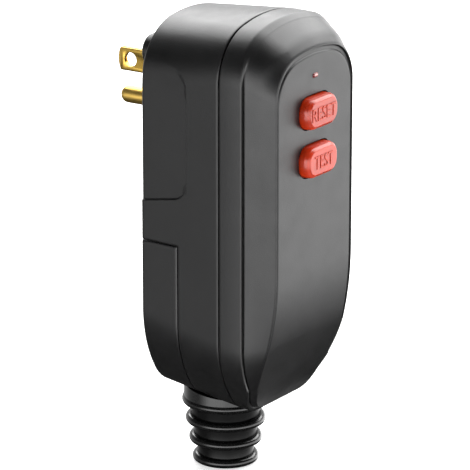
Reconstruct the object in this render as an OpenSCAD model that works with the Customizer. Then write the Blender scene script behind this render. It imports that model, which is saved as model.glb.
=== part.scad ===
// Residual-current plug for a rewired cord: blades and earth pin behind, test and reset buttons in
// front, screw terminals under a wiring cover, and a ribbed cord boot at the foot.
// Sizes are millimetres. The blade face lies on Y = 0, the blades point to +Y and +Z is up.

/* [Blades] */
// Distance between the flat blades, centre to centre
blade_pitch = 12.7; // [12.6:0.1:12.8]
// Height of a flat blade
blade_width = 6.35; // [6.2:0.05:6.5]
// Thickness of a flat blade
blade_thick = 1.5; // [1.4:0.05:1.6]
// Length of a flat blade beyond the blade face
blade_length = 16.2; // [15.6:0.1:18]
// Diameter of the hole near a blade's tip
blade_hole = 4; // [3.6:0.1:4.2]
// Diameter of the earth pin
pin_diameter = 4.75; // [4.65:0.05:4.85]
// Length of the earth pin beyond the blade face
pin_length = 19.6; // [19:0.1:21.4]
// Distance of the earth pin below the blades
pin_drop = 11.9; // [11.8:0.1:12]

/* [Housing] */
// Depth of the rear shell, from the blade face to the seam
shell_depth = 28; // [26.5:0.1:30]
// Depth of the front cover, from the seam to its rim
front_depth = 15.2; // [14.6:0.1:16]
// Half of the housing's width at the seam
seam_half = 23.5; // [23:0.1:26]
// How far each side leans in from the seam to the rear
side_draft = 1.2; // [0.8:0.1:1.4]
// Height of the crowned top above the blades, at the seam
seam_top = 17.4; // [17.2:0.1:20]
// Depth of the foot below the blades, at the seam
seam_foot = 91.5; // [88:0.1:105]
// Radius of the crowned top
crown_r = 50; // [45:0.5:60]
// Height of the wiring cover above the inner floor
cover_high = 40.1; // [39:0.1:41]
// Depth of the cord's centre line, where the wiring cover also parts from the rear shell
cord_depth = 14.4; // [14:0.1:14.8]
// Height of the raised blade face
face_step = 2; // [1.8:0.1:2.2]
// Depth of the thumb recess on each side
grip_deep = 0.5; // [0.3:0.05:0.7]
// Wall thickness of the moulded shells
wall = 2.2; // [2:0.1:2.3]
// Width of the dark line around the wiring cover
cover_gap = 0.3; // [0.2:0.05:0.5]
// Thickness of the seal between the shells
seal_thick = 0.4; // [0.2:0.05:0.5]

/* [Buttons] */
// Width of a button
button_wide = 14.8; // [14:0.1:15.4]
// Height of a button
button_high = 8.6; // [8:0.1:9]
// How far a button stands out of the front face
button_out = 2.9; // [2.4:0.1:3.4]
// How far a button can be pressed
button_travel = 1.5; // [1:0.1:1.8]
// Distance between the two buttons
button_pitch = 13.2; // [12.8:0.1:13.8]
// Gap around a button
button_gap = 0.4; // [0.3:0.05:0.6]

/* [Cord boot] */
// Diameter of the bore for the cord
cord_bore = 9; // [7.5:0.1:9.4]
// Radius of the boot's widest rib
rib_radius = 12.1; // [11.6:0.1:12.6]
// Distance between the ribs
rib_pitch = 5.6; // [5.2:0.1:6]

/* [Relay] */
// Angle the armature turns through to close the contacts
armature_angle = 6; // [5:0.25:7]

/* [Hidden] */
$fn = 40;
tiny = 0.05;
past = 150;
blade_x = blade_pitch/2;
rear_y = -face_step;
inner_rear = rear_y - wall;
flange_y = inner_rear - 1.5;
root_y = flange_y - 6.3;
pad_r = 4.4;
pad_z = 6.2;
pad_foot_r = 6.4;
pin_root_r = 2.6;
seam_y = -shell_depth;
face_depth = front_depth - 0.2;
face_y = seam_y - face_depth;
inner_face = face_y + 1.9;
band = 8;
border = 6.4;
step = 1.4;
button_front = face_y - button_out;
button_corner = 3.2;
stem_end = inner_face + 3.8;
rear_half = seam_half - side_draft;
rear_top = seam_top - 2;
rear_foot = seam_foot - 3.5;
corner_rear = 17;
corner_seam = 15.7;
sweep_rear = 34;
sweep_seam = 27;
sweep_rear_z = 24.2 - rear_foot;
sweep_seam_z = 22.4 - seam_foot;
lean_r = 85;
lean_z = 41.7 - seam_foot;
toe = 6;
grip_y = -17.3;
grip_corner = 4;
floor_z = 3.5 - rear_foot;
cord_y = -cord_depth;
split_z = floor_z + cover_high;
board_back = seam_y - 1;
board_front = board_back - 1.6;
plunger_length = board_front - 2.8 - stem_end;
board_top = pad_z + 3.6;
board_foot = floor_z + 22.5;
wall_front = seam_y + 6;
wall_back = wall_front + 2;
wall_foot = floor_z + 5.5;
reset_z = -7.6;
test_z = reset_z - button_pitch;
led_z = reset_z + 9.7;
led_r = 1;
post_r = 3.2;
boss_r = 4.4;
screw_r = 1.5;
head_r = 2.8;
head_seat = rear_y - 4;
screw_end = inner_face + 3.4;
screw_x = 14.5;
cover_x = 15.5;
screw_spots = [for (z = [pad_z, split_z + 6.1], s = [-1, 1]) [s*screw_x, z]];
cover_spots = [for (s = [-1, 1]) [s*cover_x, floor_z + 16]];
clamp_spots = [for (s = [-1, 1]) [s*10.5, floor_z + 8.5]];
clamp_y = cord_y + 2.4;
clamp_back = clamp_y + 4;
clamp_screw_r = 1.28;
clamp_screw_end = wall_front + 2;
line_spot = [12, split_z - 11.6];
earth_spot = [0, split_z - 20.6];
terminal_spots = [line_spot, [-line_spot.x, line_spot.y], earth_spot];
terminal_r = 1.8;
terminal_end = seam_y + 1;
terminal_thick = 1.2;
strap_thick = 0.8;
strap_z = earth_spot.y + 7;
strap_half = 3;
strap_y = flange_y - strap_thick;
rivet_r = 2;
pass_x = 8.45;
pass_y = -11.5;
core_z = -29.5;
core_top = board_back + 12.2;
relay_y = board_back + 6.5;
yoke_thick = 1.1;
yoke_top = 6.4;
yoke_foot = -15.2;
bobbin_foot = yoke_foot + 1.7;
bobbin_top = yoke_top - 1;
core_r = 2;
hinge_y = board_back + 0.8;
arm_thick = 1.2;
arm_z = yoke_top + tiny;
hinge_z = arm_z + arm_thick/2;
contact_x = blade_x + 2.15;
contact_y = root_y - 1.2;
spring_y = contact_y - 1;
carrier_y = contact_y - 3;
neck_r = 7;
flange_r = 8.8;
rib_half = 1.25;
rib_z = -seam_foot - 2.1;
boot_end = rib_z - 3*rib_pitch - rib_half;

// Plain helpers
function mix(a, b, t) = a + (b - a)*t;
function arc(c, r, a0, a1, n, from = 0) =
    [for (i = [from:n]) let (a = mix(a0, a1, i/n)) c + r*[cos(a), sin(a)]];
function unit(v) = v/norm(v);

module box(x0, x1, y0, y1, z0, z1)
    translate([x0, y0, z0]) cube([x1 - x0, y1 - y0, z1 - z0]);

// A rod along Y
module rod(x, z, y0, y1, r)
    translate([x, y1, z]) rotate([90, 0, 0]) cylinder(r = r, h = y1 - y0);

// A flat shape drawn in X and Z, made thick along Y
module slab(y0, y1)
    translate([0, y1, 0]) rotate([90, 0, 0]) linear_extrude(y1 - y0) children();

// A flat shape drawn in Y and Z, made thick along X
module plate(x0, x1)
    translate([x0, 0, 0]) rotate([90, 0, 90]) linear_extrude(x1 - x0) children();

module rounded(w, h, r)
    hull() for (sx = [-1, 1], sz = [-1, 1]) translate([sx*(w/2 - r), sz*(h/2 - r)]) circle(r, $fn = 24);

// A round wire bent along a path; ref is a direction the path never runs along
module wire(path, r, ref, sides = 6) {
    n = len(path);
    pts = [for (i = [0:n - 1])
        let (t = unit(path[min(i + 1, n - 1)] - path[max(i - 1, 0)]),
             u = unit(cross(t, ref)),
             v = cross(t, u))
        for (k = [0:sides - 1]) path[i] + r*(u*cos(k*360/sides) + v*sin(k*360/sides))];
    skin = [for (i = [0:n - 2]) for (k = [0:sides - 1])
        let (a = i*sides + k, b = i*sides + (k + 1) % sides)
        each [[a, b, b + sides], [a, b + sides, a + sides]]];
    ends = [[for (k = [sides - 1:-1:0]) k], [for (k = [0:sides - 1]) (n - 1)*sides + k]];
    polyhedron(pts, concat(skin, ends), convexity = 6);
}

// A coil spring along Y or Z, its wire kept inside the given length
function helix(r, wire_r, turns, length, steps = 8) =
    [for (i = [0:turns*steps])
        let (a = 360*i/steps, t = i/(turns*steps))
        [r*cos(a), r*sin(a), wire_r + t*(length - 2*wire_r)]];

// Half of the housing's outline, from the top centre down the left side to the flat of the foot
function half_outline(half, top, foot, crown, corner, sweep, sweep_z, toe) =
    let (cz = top - crown + sqrt(pow(crown - corner, 2) - pow(half - corner, 2)),
         a1 = atan2(cz - top + crown, corner - half),
         bx = sweep - half,
         fz = foot + toe,
         fx = bx - sqrt(pow(sweep - toe, 2) - pow(sweep_z - fz, 2)),
         a2 = 360 + atan2(fz - sweep_z, fx - bx))
    concat(arc([0, top - crown], crown, 90, a1, 5),
           arc([corner - half, cz], corner, a1, 180, 8, 1),
           [for (t = [0, 0.35, 0.7]) [-half, mix(lean_z, sweep_z, t)]],
           arc([bx, sweep_z], sweep, 180, a2, 10),
           arc([fx, fz], toe, a2, 270, 3, 1));

// Closes a half outline into a ring of points
function ring(half, ys) =
    let (n = len(half))
    concat([for (i = [0:n - 1]) [half[i].x, ys[i], half[i].y]],
           [for (i = [n - 1:-1:1]) [-half[i].x, ys[i], half[i].y]]);

function flat_ring(half, y) = ring(half, [for (p = half) y]);

// Skins a list of rings and caps both ends with strips from side to side
module loft(rings) {
    n = len(rings[0]);
    m = len(rings);
    h = (n + 1)/2;
    skin = [for (k = [0:m - 2]) for (i = [0:n - 1])
        let (a = k*n + i, b = k*n + (i + 1) % n)
        each [[a, b, b + n], [a, b + n, a + n]]];
    cap = concat([[0, n - 1, 1]],
                 [for (i = [1:h - 2]) each [[i, n - i, n - i - 1], [i, n - i - 1, i + 1]]]);
    last = [for (f = cap) [f[0] + (m - 1)*n, f[2] + (m - 1)*n, f[1] + (m - 1)*n]];
    mirror([1, 0, 0]) polyhedron([for (r = rings) each r], concat(skin, cap, last), convexity = 8);
}

// The outline of the rear shell at one depth, moved in from the surface
function rear_outline(y, inset, level = undef) =
    let (t = (y - rear_y)/(seam_y - rear_y),
         inner = level != undef)
    half_outline(mix(rear_half, seam_half, t) - inset,
                 mix(rear_top, seam_top, t) - inset,
                 inner ? level : -mix(rear_foot, seam_foot, t) + inset,
                 crown_r - inset,
                 mix(corner_rear, corner_seam, t) - inset,
                 mix(sweep_rear, sweep_seam, t) - inset,
                 mix(sweep_rear_z, sweep_seam_z, t),
                 inner ? toe/2 : max(toe - inset, 0.6));
function rear_ring(y, inset, level = undef) = flat_ring(rear_outline(y, inset, level), y);

// The front leans back towards the foot: how far, the band's depth, and what is left of the border
function lean(z) = z > lean_z ? 0 : lean_r - sqrt(lean_r*lean_r - pow(lean_z - z, 2));
function band_at(z) = min(band, face_depth - lean(z) - 0.4);
function left(z) = max(0.05, (face_depth - lean(z) - band_at(z))/(face_depth - band));
function front_top(inset) = seam_top - 0.91*min(inset, step) - 1.42*max(inset - step, 0);
function front_outline(inset, level, toe, rise = 0) =
    half_outline(seam_half - inset, front_top(inset), level, crown_r - inset, corner_seam - 0.35*inset,
                 sweep_seam - inset, sweep_seam_z + rise, toe);
function front_level(depth, inset) =
    front_outline(inset, -seam_foot + inset, max(toe - inset, 0.6), -0.11*depth);
function front_base() = front_outline(0, -seam_foot, toe);
function front_ring(depth, inset) =
    let (d = min(depth, band),
         base = front_level(d, min(inset, step)),
         moved = front_level(d, inset),
         half = [for (i = [0:len(base) - 1]) mix(base[i], moved[i], pow(left(base[i].y), 0.16))])
    ring(half, [for (p = base) seam_y - d*band_at(p.y)/band - (depth - d)*left(p.y)]);
function front_inner(depth, inset) =
    let (half = front_outline(inset, floor_z, toe/2, -0.11*min(depth, band)))
    ring(half, [for (p = half) seam_y - depth*(1 - 1.25*lean(p.y)/front_depth)]);

module rear_cup()
    loft([rear_ring(inner_rear, wall, floor_z),
          rear_ring(seam_y + seal_thick/2, wall, floor_z),
          rear_ring(seam_y + seal_thick/2, 0),
          rear_ring(rear_y - 1, 0),
          rear_ring(rear_y - 0.3, 0.3),
          rear_ring(rear_y, 1)]);

// The rear shell's solid form, a little inside its surface, to trim the inner walls
module rear_core()
    loft([rear_ring(seam_y + 0.3, 1), rear_ring(rear_y - 0.6, 1)]);

module front_cup()
    loft([front_ring(face_depth, border + 0.4),
          front_ring(face_depth - 0.7, border + 0.2),
          front_ring(face_depth - 0.7, border - 0.4),
          front_ring(front_depth, border - 0.5),
          front_ring(front_depth - 0.1, border - 1),
          front_ring(face_depth - 0.4, border - 1.5),
          front_ring(mix(band + 0.7, face_depth, 0.5), mix(step + 0.45, border - 1.5, 0.15)),
          front_ring(band + 0.7, step + 0.45),
          front_ring(band + 0.15, step),
          front_ring(band, 0.55),
          front_ring(band - 0.4, 0.25),
          flat_ring(front_base(), seam_y - seal_thick/2),
          flat_ring(front_outline(wall, floor_z, toe/2), seam_y - seal_thick/2),
          front_inner(band - 1.7, wall + 0.3),
          front_inner(seam_y - inner_face, border + 0.8)]);

// The shallow recess for the thumb on each side, open to the rear
module grip_recess()
    difference() {
        plate(-past, past) hull() {
            for (z = [-0.3, -27.4]) translate([grip_y + grip_corner, z]) circle(grip_corner, $fn = 24);
            polygon([[5, 9.2], [5, -34.7], [4, -34.6]]);
        }
        loft([rear_ring(seam_y + 1, grip_deep), rear_ring(6, grip_deep)]);
    }

// The front cover's solid form, a little inside its surface, to trim the screw posts
module front_core()
    loft([front_ring(face_depth - 1.2, border - 0.4),
          front_ring(band, step + 0.4),
          flat_ring(front_outline(1, 1 - seam_foot, toe - 1), seam_y + 1)]);

module cover_room(gap)
    box(-past, past, cord_y + gap, past, split_z - gap - past, split_z - gap);

// A screw from the rear, with a cross in its head
module rear_screw(spot, seat, head_r, head_h, shank_r, end)
    difference() {
        union() {
            rod(spot.x, spot.y, seat, seat + head_h, head_r);
            rod(spot.x, spot.y, end, seat + 0.1, shank_r);
        }
        box(spot.x - head_r*0.6, spot.x + head_r*0.6, seat + head_h - 1, seat + head_h + 1,
            spot.y - head_r*0.13, spot.y + head_r*0.13);
        box(spot.x - head_r*0.13, spot.x + head_r*0.13, seat + head_h - 1, seat + head_h + 1,
            spot.y - head_r*0.6, spot.y + head_r*0.6);
    }

// The raised pad round the blades: a triangle with round corners
module blade_pad()
    hull() {
        for (s = [-1, 1]) translate([s*screw_x, pad_z]) circle(pad_r, $fn = 24);
        translate([0, -pin_drop]) circle(pad_foot_r, $fn = 24);
    }

module blade_openings() {
    for (s = [-1, 1])
        box(s*blade_x - blade_thick/2 - tiny, s*blade_x + blade_thick/2 + tiny, root_y + 1, 1,
            -blade_width/2 - tiny, blade_width/2 + tiny);
    rod(0, -pin_drop, root_y + 1, 1, pin_root_r + tiny);
}

module boot_hole()
    translate([0, cord_y, floor_z + 2.5 - past]) cylinder(r = neck_r + tiny, h = past);

module rear_shell() color([0.16, 0.16, 0.17])
    difference() {
        union() {
            difference() {
                rear_cup();
                cover_room(0);
                grip_recess();
            }
            slab(rear_y - 1, 0) blade_pad();
            intersection() {
                union() {
                    box(-past, past, wall_front, rear_y - 1, split_z, split_z + 2);
                    box(-past, past, wall_front, wall_back, wall_foot, split_z + 1);
                    for (p = cover_spots) rod(p.x, p.y, seam_y, cord_y + cover_gap/2, post_r);
                }
                rear_core();
            }
            for (p = clamp_spots) rod(p.x, p.y, wall_front, clamp_y, post_r);
            for (p = terminal_spots) rod(p.x, p.y, seam_y + 0.5, wall_back - 1, terminal_r + 1.6);
            for (p = screw_spots) {
                rod(p.x, p.y, board_back, rear_y - 1, post_r);
                rod(p.x, p.y, head_seat - 2, rear_y - 1, boss_r);
            }
            for (s = [-1, 1]) rod(s*(blade_x + 4.05), -3.5, flange_y, inner_rear + 1, 1.3);
        }
        blade_openings();
        boot_hole();
        for (p = screw_spots) {
            rod(p.x, p.y, head_seat, 1, head_r + 0.3);
            rod(p.x, p.y, board_back - 1, head_seat + 1, screw_r + 0.2);
        }
        for (p = cover_spots) rod(p.x, p.y, seam_y - 1, 0, screw_r + 0.1);
        for (p = clamp_spots) rod(p.x, p.y, clamp_screw_end - 1, 0, clamp_screw_r + 0.02);
        for (p = terminal_spots) rod(p.x, p.y, terminal_end - 0.3, 0, terminal_r + tiny);
        for (s = [-1, 1]) translate([s*pass_x, pass_y, split_z - 1]) cylinder(r = 2.2, h = 4);
        box(-strap_half - 0.3, strap_half + 0.3, strap_y - 0.4, flange_y + 0.4, split_z - 1, split_z + 3);
    }

module front_cover() color([0.22, 0.22, 0.23])
    difference() {
        union() {
            front_cup();
            intersection() {
                union() {
                    for (p = screw_spots) rod(p.x, p.y, inner_face - 0.6, board_front, post_r - 0.2);
                    for (p = cover_spots) rod(p.x, p.y, inner_face - 0.6, seam_y, post_r - 0.2);
                }
                front_core();
            }
        }
        for (z = [reset_z, test_z])
            slab(face_y - 3, inner_face + 1) translate([0, z])
                rounded(button_wide + 2*button_gap, button_high + 2*button_gap, button_corner + button_gap);
        rod(0, led_z, face_y - 3, inner_face + 1, led_r + tiny);
        for (p = screw_spots) rod(p.x, p.y, screw_end - 1, board_front + 1, screw_r + tiny);
        for (p = cover_spots) rod(p.x, p.y, screw_end - 1, seam_y + 1, screw_r + tiny);
    }

module wiring_cover() color([0.15, 0.15, 0.16])
    difference() {
        union() {
            intersection() {
                rear_cup();
                cover_room(cover_gap);
            }
            for (p = cover_spots) {
                rod(p.x, p.y, cord_y + cover_gap/2, rear_y - 1, post_r);
                rod(p.x, p.y, head_seat - 2, rear_y - 1, boss_r);
            }
            for (s = [-1, 1]) box(s*10 - 3, s*10 + 3, inner_rear - 2.8, rear_y - 1, split_z - 3, split_z);
        }
        boot_hole();
        for (p = cover_spots) {
            rod(p.x, p.y, head_seat, 1, head_r + 0.3);
            rod(p.x, p.y, cord_y - 1, 0, screw_r + 0.1);
        }
    }

module seam_gasket() color([0.06, 0.06, 0.06])
    slab(seam_y - seal_thick/2, seam_y + seal_thick/2) difference() {
        polygon([for (p = rear_ring(seam_y, 0.5)) [p.x, p.z]]);
        polygon([for (p = rear_ring(seam_y, 1.9)) [p.x, p.z]]);
    }

module housing_screws() color([0.55, 0.55, 0.57])
    for (p = screw_spots) rear_screw(p, head_seat, head_r, 2.4, screw_r, screw_end);

module cover_screws() color([0.55, 0.55, 0.57])
    for (p = cover_spots) rear_screw(p, head_seat, head_r, 2.4, screw_r, screw_end);

// A flat blade: a rounded tip outside, a flange behind the shell's wall and a root inside
module flat_blade(x)
    difference() {
        union() {
            plate(x - blade_thick/2, x + blade_thick/2) polygon(concat(
                [[root_y, blade_width/2], [root_y, -blade_width/2]],
                [for (i = [-4:4]) let (z = i/4*blade_width/2) [blade_length - 1.1*pow(i/4, 2), z]]));
            box(x - 2.2, x + 2.2, flange_y, inner_rear, -5, 5);
        }
        translate([x - 2, blade_length - 4.3, 0]) rotate([0, 90, 0]) cylinder(r = blade_hole/2, h = 4);
    }

module line_blade() color([0.86, 0.66, 0.26]) flat_blade(blade_x);

module neutral_blade() color([0.86, 0.66, 0.26]) flat_blade(-blade_x);

module earth_pin() color([0.84, 0.64, 0.25])
    translate([0, 0, -pin_drop]) rotate([-90, 0, 0]) rotate_extrude() polygon(concat(
        [[0, strap_y - 1], [2.9, strap_y - 1], [2.9, strap_y], [rivet_r, strap_y], [rivet_r, flange_y],
         [4, flange_y], [4, inner_rear], [pin_root_r, inner_rear], [pin_root_r, 0], [pin_diameter/2, 0]],
        [for (i = [0:6]) [pin_diameter/2*cos(i*15), pin_length - 2.2 + 2.2*sin(i*15)]]));

module blade_retainer() color([0.75, 0.72, 0.65])
    difference() {
        box(-11.8, 11.8, flange_y - 2, flange_y, -6.4, 6.4);
        blade_openings();
        for (p = screw_spots) rod(p.x, p.y, flange_y - 3, flange_y + 1, boss_r + 0.3);
    }

module earth_strap() color([0.72, 0.55, 0.22])
    difference() {
        union() {
            box(-strap_half, strap_half, strap_y, flange_y, strap_z - strap_thick, -pin_drop + 4);
            box(-strap_half, strap_half, wall_back, flange_y, strap_z - strap_thick, strap_z);
            box(-4, 4, wall_back, wall_back + strap_thick, earth_spot.y - 5, strap_z);
        }
        rod(0, -pin_drop, strap_y - 2, 0, rivet_r + tiny);
        rod(earth_spot.x, earth_spot.y, wall_front, wall_back + 8, terminal_r + tiny);
    }

// One rib of the boot, as profile points going down
function rib(r, z) = [for (i = [0:6]) [r - rib_half + rib_half*sin(i*30), z + rib_half*cos(i*30)]];

// The narrow neck between one rib and the next
function waist(r, n) =
    [[r, rib_z - n*rib_pitch - rib_half - 0.35], [r, rib_z - (n + 1)*rib_pitch + rib_half - 0.05]];

module cord_boot() color([0.05, 0.05, 0.05])
    translate([0, cord_y, 0]) difference() {
        union() {
            translate([0, 0, floor_z]) cylinder(r = flange_r, h = 2.6);
            translate([0, 0, -seam_foot - 0.5]) cylinder(r = neck_r, h = seam_foot + 1.5 + floor_z);
            intersection() {
                rotate_extrude($fn = 60) polygon(concat(
                    [[0, floor_z + 0.5], [rib_radius - 0.6, floor_z + 0.5]],
                    rib(rib_radius, rib_z),
                    waist(rib_radius - 2.7, 0),
                    rib(rib_radius - 0.9, rib_z - rib_pitch),
                    waist(rib_radius - 3.5, 1),
                    rib(rib_radius - 1.9, rib_z - 2*rib_pitch),
                    waist(rib_radius - 4.3, 2),
                    rib(rib_radius - 2.9, rib_z - 3*rib_pitch),
                    [[0, boot_end]]));
                translate([0, rear_y - cord_y, -rear_foot - 0.1])
                    rotate([atan((seam_foot - rear_foot)/(rear_y - seam_y)), 0, 0])
                        translate([-past/2, -past/2, -past]) cube([past, past, past]);
            }
        }
        translate([0, 0, boot_end - past/2]) cylinder(r = cord_bore/2, h = past);
    }

module cord_clamp() color([0.2, 0.2, 0.21])
    difference() {
        box(clamp_spots[0].x - 2.5, clamp_spots[1].x + 2.5, clamp_y, clamp_back,
            clamp_spots[0].y - 3, clamp_spots[0].y + 3);
        translate([0, cord_y, clamp_spots[0].y - 15]) cylinder(r = cord_bore/2 + 0.1, h = 30);
        for (p = clamp_spots) rod(p.x, p.y, clamp_y - 1, clamp_back + 1, clamp_screw_r + 0.32);
    }

module clamp_screws() color([0.6, 0.6, 0.62])
    for (p = clamp_spots) rear_screw(p, clamp_back, 2.3, 1.7, clamp_screw_r, clamp_screw_end);

module side_terminal(s)
    difference() {
        box(s*line_spot.x - 4.5, s*line_spot.x + 4.5, wall_back, wall_back + terminal_thick,
            line_spot.y - 6, line_spot.y + 8);
        rod(s*line_spot.x, line_spot.y, wall_front, wall_back + 8, terminal_r + tiny);
    }

module line_terminal() color([0.8, 0.6, 0.25]) side_terminal(1);

module neutral_terminal() color([0.75, 0.75, 0.74]) side_terminal(-1);

module line_screw() color([0.82, 0.64, 0.3])
    rear_screw(line_spot, wall_back + terminal_thick, 3.2, 2, terminal_r, terminal_end);

module neutral_screw() color([0.78, 0.78, 0.78])
    rear_screw([-line_spot.x, line_spot.y], wall_back + terminal_thick, 3.2, 2, terminal_r, terminal_end);

module earth_screw() color([0.15, 0.5, 0.25])
    rear_screw(earth_spot, wall_back + strap_thick, 3.2, 2, terminal_r, terminal_end);

// A stiff conductor from the board, through both cores, to a terminal
module conductor(s)
    wire([[s*1.25, board_back, core_z], [s*1.25, core_top + 2.8, core_z], [s*1.4, pass_y - 0.9, core_z - 1.2],
          [s*3, pass_y, core_z - 4.5], [s*(pass_x + 0.25), pass_y, split_z + 0.9],
          [s*(line_spot.x - 0.6), pass_y - 0.5, split_z - 4.6],
          [s*line_spot.x, pass_y - 2, line_spot.y + 5.4],
          [s*line_spot.x, wall_back + terminal_thick + 0.1, line_spot.y + 5]],
         1, [0, 0.3, 1], 8);

module line_conductor() color([0.1, 0.1, 0.1]) conductor(1);

module neutral_conductor() color([0.9, 0.9, 0.88]) conductor(-1);

// A rounded rectangle with a faintly crowned top as a ring of points, moved in from the button's outline
function button_ring(y, inset) =
    let (w = button_wide/2 - inset,
         h = button_high/2 - inset,
         r = max(button_corner - inset, 0.4),
         upper = arc([r - w, h - r], r, 90, 180, 6),
         lower = arc([r - w, r - h], r, 180, 270, 6))
    flat_ring(concat([[0, h + 0.1]], upper, lower), y);

// A push button: rounded cap, stop flange and stem
module push_button(z)
    translate([0, 0, z]) {
        loft([button_ring(button_front, 1.1),
              button_ring(button_front + 0.15, 0.6),
              button_ring(button_front + 0.5, 0.2),
              button_ring(button_front + 1.1, 0),
              button_ring(inner_face + 0.5, 0)]);
        slab(inner_face + 0.08, inner_face + 1.5) rounded(button_wide + 2.6, button_high + 2.2, 3);
        rod(0, 0, inner_face + 1.4, stem_end, 2);
    }

module reset_button() color([0.88, 0.27, 0.14]) push_button(reset_z);

module test_button() color([0.88, 0.27, 0.14]) push_button(test_z);

module button_spring(z)
    translate([0, board_front, z]) rotate([90, 0, 0])
        wire(helix(4.9, 0.3, 4, board_front - inner_face - 1.5), 0.3, [0, 0, 1]);

module reset_spring() color([0.7, 0.7, 0.72]) button_spring(reset_z);

module test_spring() color([0.7, 0.7, 0.72]) button_spring(test_z);

module push_switch(z)
    difference() {
        box(-3, 3, board_front - 3.5, board_front, z - 3, z + 3);
        rod(0, z, board_front - 4.4, stem_end + plunger_length + button_travel + 0.5, 1.75);
    }

module push_plunger(z) rod(0, z, stem_end, stem_end + plunger_length, 1.7);

module reset_switch() color([0.12, 0.12, 0.13]) push_switch(reset_z);

module test_switch() color([0.12, 0.12, 0.13]) push_switch(test_z);

module reset_plunger() color([0.85, 0.85, 0.82]) push_plunger(reset_z);

module test_plunger() color([0.85, 0.85, 0.82]) push_plunger(test_z);

module led_lens() color([0.95, 0.8, 0.75]) {
    rod(0, led_z, face_y - 0.15, board_front - 4.3, led_r);
    rod(0, led_z, inner_face, inner_face + 1.2, led_r + 0.9);
}

module indicator_led() color([0.9, 0.35, 0.25])
    translate([0, board_front, led_z]) rotate([90, 0, 0]) rotate_extrude() polygon(concat(
        [[0, 0], [1.9, 0], [1.9, 0.8], [1.5, 0.8]],
        [for (i = [0:5]) [1.5*cos(i*18), 2.8 + 1.5*sin(i*18)]]));

module circuit_board() color([0.1, 0.35, 0.2])
    difference() {
        slab(board_front, board_back) translate([0, (board_top + board_foot)/2])
            rounded(2*screw_x + 4, board_top - board_foot, 4);
        for (p = screw_spots) rod(p.x, p.y, board_front - 1, board_back + 1, screw_r + 0.2);
    }

module controller_chip() color([0.08, 0.08, 0.08]) box(-2.5, 2.5, board_front - 1.6, board_front, -40, -34);

module rectifier() color([0.1, 0.1, 0.1])
    box(5, 11, board_front - 2.6, board_front, board_foot + 10, board_foot + 16);

module varistor() color([0.15, 0.3, 0.6]) {
    translate([10.4, board_back + 5.5, -14]) rotate([0, 90, 0]) cylinder(r = 5, h = 3.6);
    for (z = [-16.5, -11.5]) rod(12.2, z, board_back, board_back + 3, 0.4);
}

module film_capacitor() color([0.75, 0.3, 0.12]) box(-15, -10, board_back, board_back + 9, -20, -10);

module electrolytic_capacitor() color([0.12, 0.16, 0.3]) rod(-13, -27.5, board_back, board_back + 12, 3.1);

module thyristor() color([0.1, 0.1, 0.1]) box(11, 15, board_back, board_back + 4.6, -28.5, -23.5);

module resistors() color([0.75, 0.62, 0.42])
    for (x = [-10.5, -7.5, 7.5, 10.5]) translate([x, board_front - 1, -36]) cylinder(r = 1, h = 6);

module core_case() color([0.85, 0.83, 0.76]) {
    rod_ring(board_back, board_back + 1, 2.6, 9.4);
    rod_ring(board_back + 0.9, core_top, 8.6, 9.4);
    rod_ring(board_back + 0.9, core_top, 2.6, 3.4);
}

// A ring about the cores' axis
module rod_ring(y0, y1, r0, r1)
    difference() {
        rod(0, core_z, y0, y1, r1);
        rod(0, core_z, y0 - 1, y1 + 1, r0);
    }

module sense_core() color([0.72, 0.42, 0.22]) rod_ring(board_back + 1, core_top - 5.6, 3.5, 8.5);

module neutral_core() color([0.66, 0.38, 0.2]) rod_ring(core_top - 5.6, core_top, 3.5, 8.5);

module core_lid() color([0.85, 0.83, 0.76]) rod_ring(core_top, core_top + 1, 2.6, 9.4);

module relay_yoke() color([0.5, 0.5, 0.5])
    difference() {
        union() {
            box(-5, 5, board_back, board_back + yoke_thick, yoke_foot, yoke_top);
            box(-5, 5, board_back, relay_y + 5, yoke_foot, bobbin_foot);
        }
        translate([0, relay_y, yoke_foot - 1]) cylinder(r = core_r, h = 4);
    }

module relay_core() color([0.58, 0.58, 0.58])
    translate([0, relay_y, 0]) {
        translate([0, 0, yoke_foot]) cylinder(r = core_r, h = bobbin_top + 0.4 - yoke_foot);
        translate([0, 0, bobbin_top]) cylinder(r = 3.6, h = yoke_top - bobbin_top);
    }

module relay_bobbin() color([0.9, 0.88, 0.8])
    difference() {
        union() {
            translate([0, relay_y, bobbin_foot]) cylinder(r = 5.4, h = 1);
            translate([0, relay_y, bobbin_foot]) cylinder(r = 3, h = bobbin_top - bobbin_foot);
            translate([0, relay_y, bobbin_top - 1]) cylinder(r = 5.4, h = 1);
            box(-2.4, 2.4, relay_y + 2.5, spring_y + 1.8, bobbin_foot, bobbin_foot + 1);
            box(-2.4, 2.4, spring_y - 1.7, spring_y + 1.8, bobbin_foot, 0);
        }
        translate([0, relay_y, yoke_foot - 5]) cylinder(r = core_r + tiny, h = 40);
    }

module relay_coil() color([0.7, 0.35, 0.16])
    translate([0, relay_y, bobbin_foot + 1]) difference() {
        cylinder(r = 5.1, h = bobbin_top - bobbin_foot - 2);
        translate([0, 0, -1]) cylinder(r = 3, h = 20);
    }

// Turns the moving relay pieces open about the yoke's edge
module opened()
    translate([0, hinge_y, hinge_z]) rotate([armature_angle, 0, 0])
        translate([0, -hinge_y, -hinge_z]) children();

module armature() color([0.55, 0.55, 0.55])
    opened() {
        box(-5, 5, hinge_y, carrier_y, arm_z, arm_z + arm_thick);
        translate([-5, hinge_y, hinge_z]) rotate([0, 90, 0]) cylinder(r = arm_thick/2, h = 10);
    }

module contact_carrier() color([0.2, 0.2, 0.22])
    opened() {
        box(-contact_x - 1.8, contact_x + 1.8, carrier_y, carrier_y + 4.2, arm_z + 0.3, arm_z + 2.7);
        box(-4, 4, carrier_y - 2.8, carrier_y + 0.1, arm_z + arm_thick, arm_z + 2.7);
    }

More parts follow.
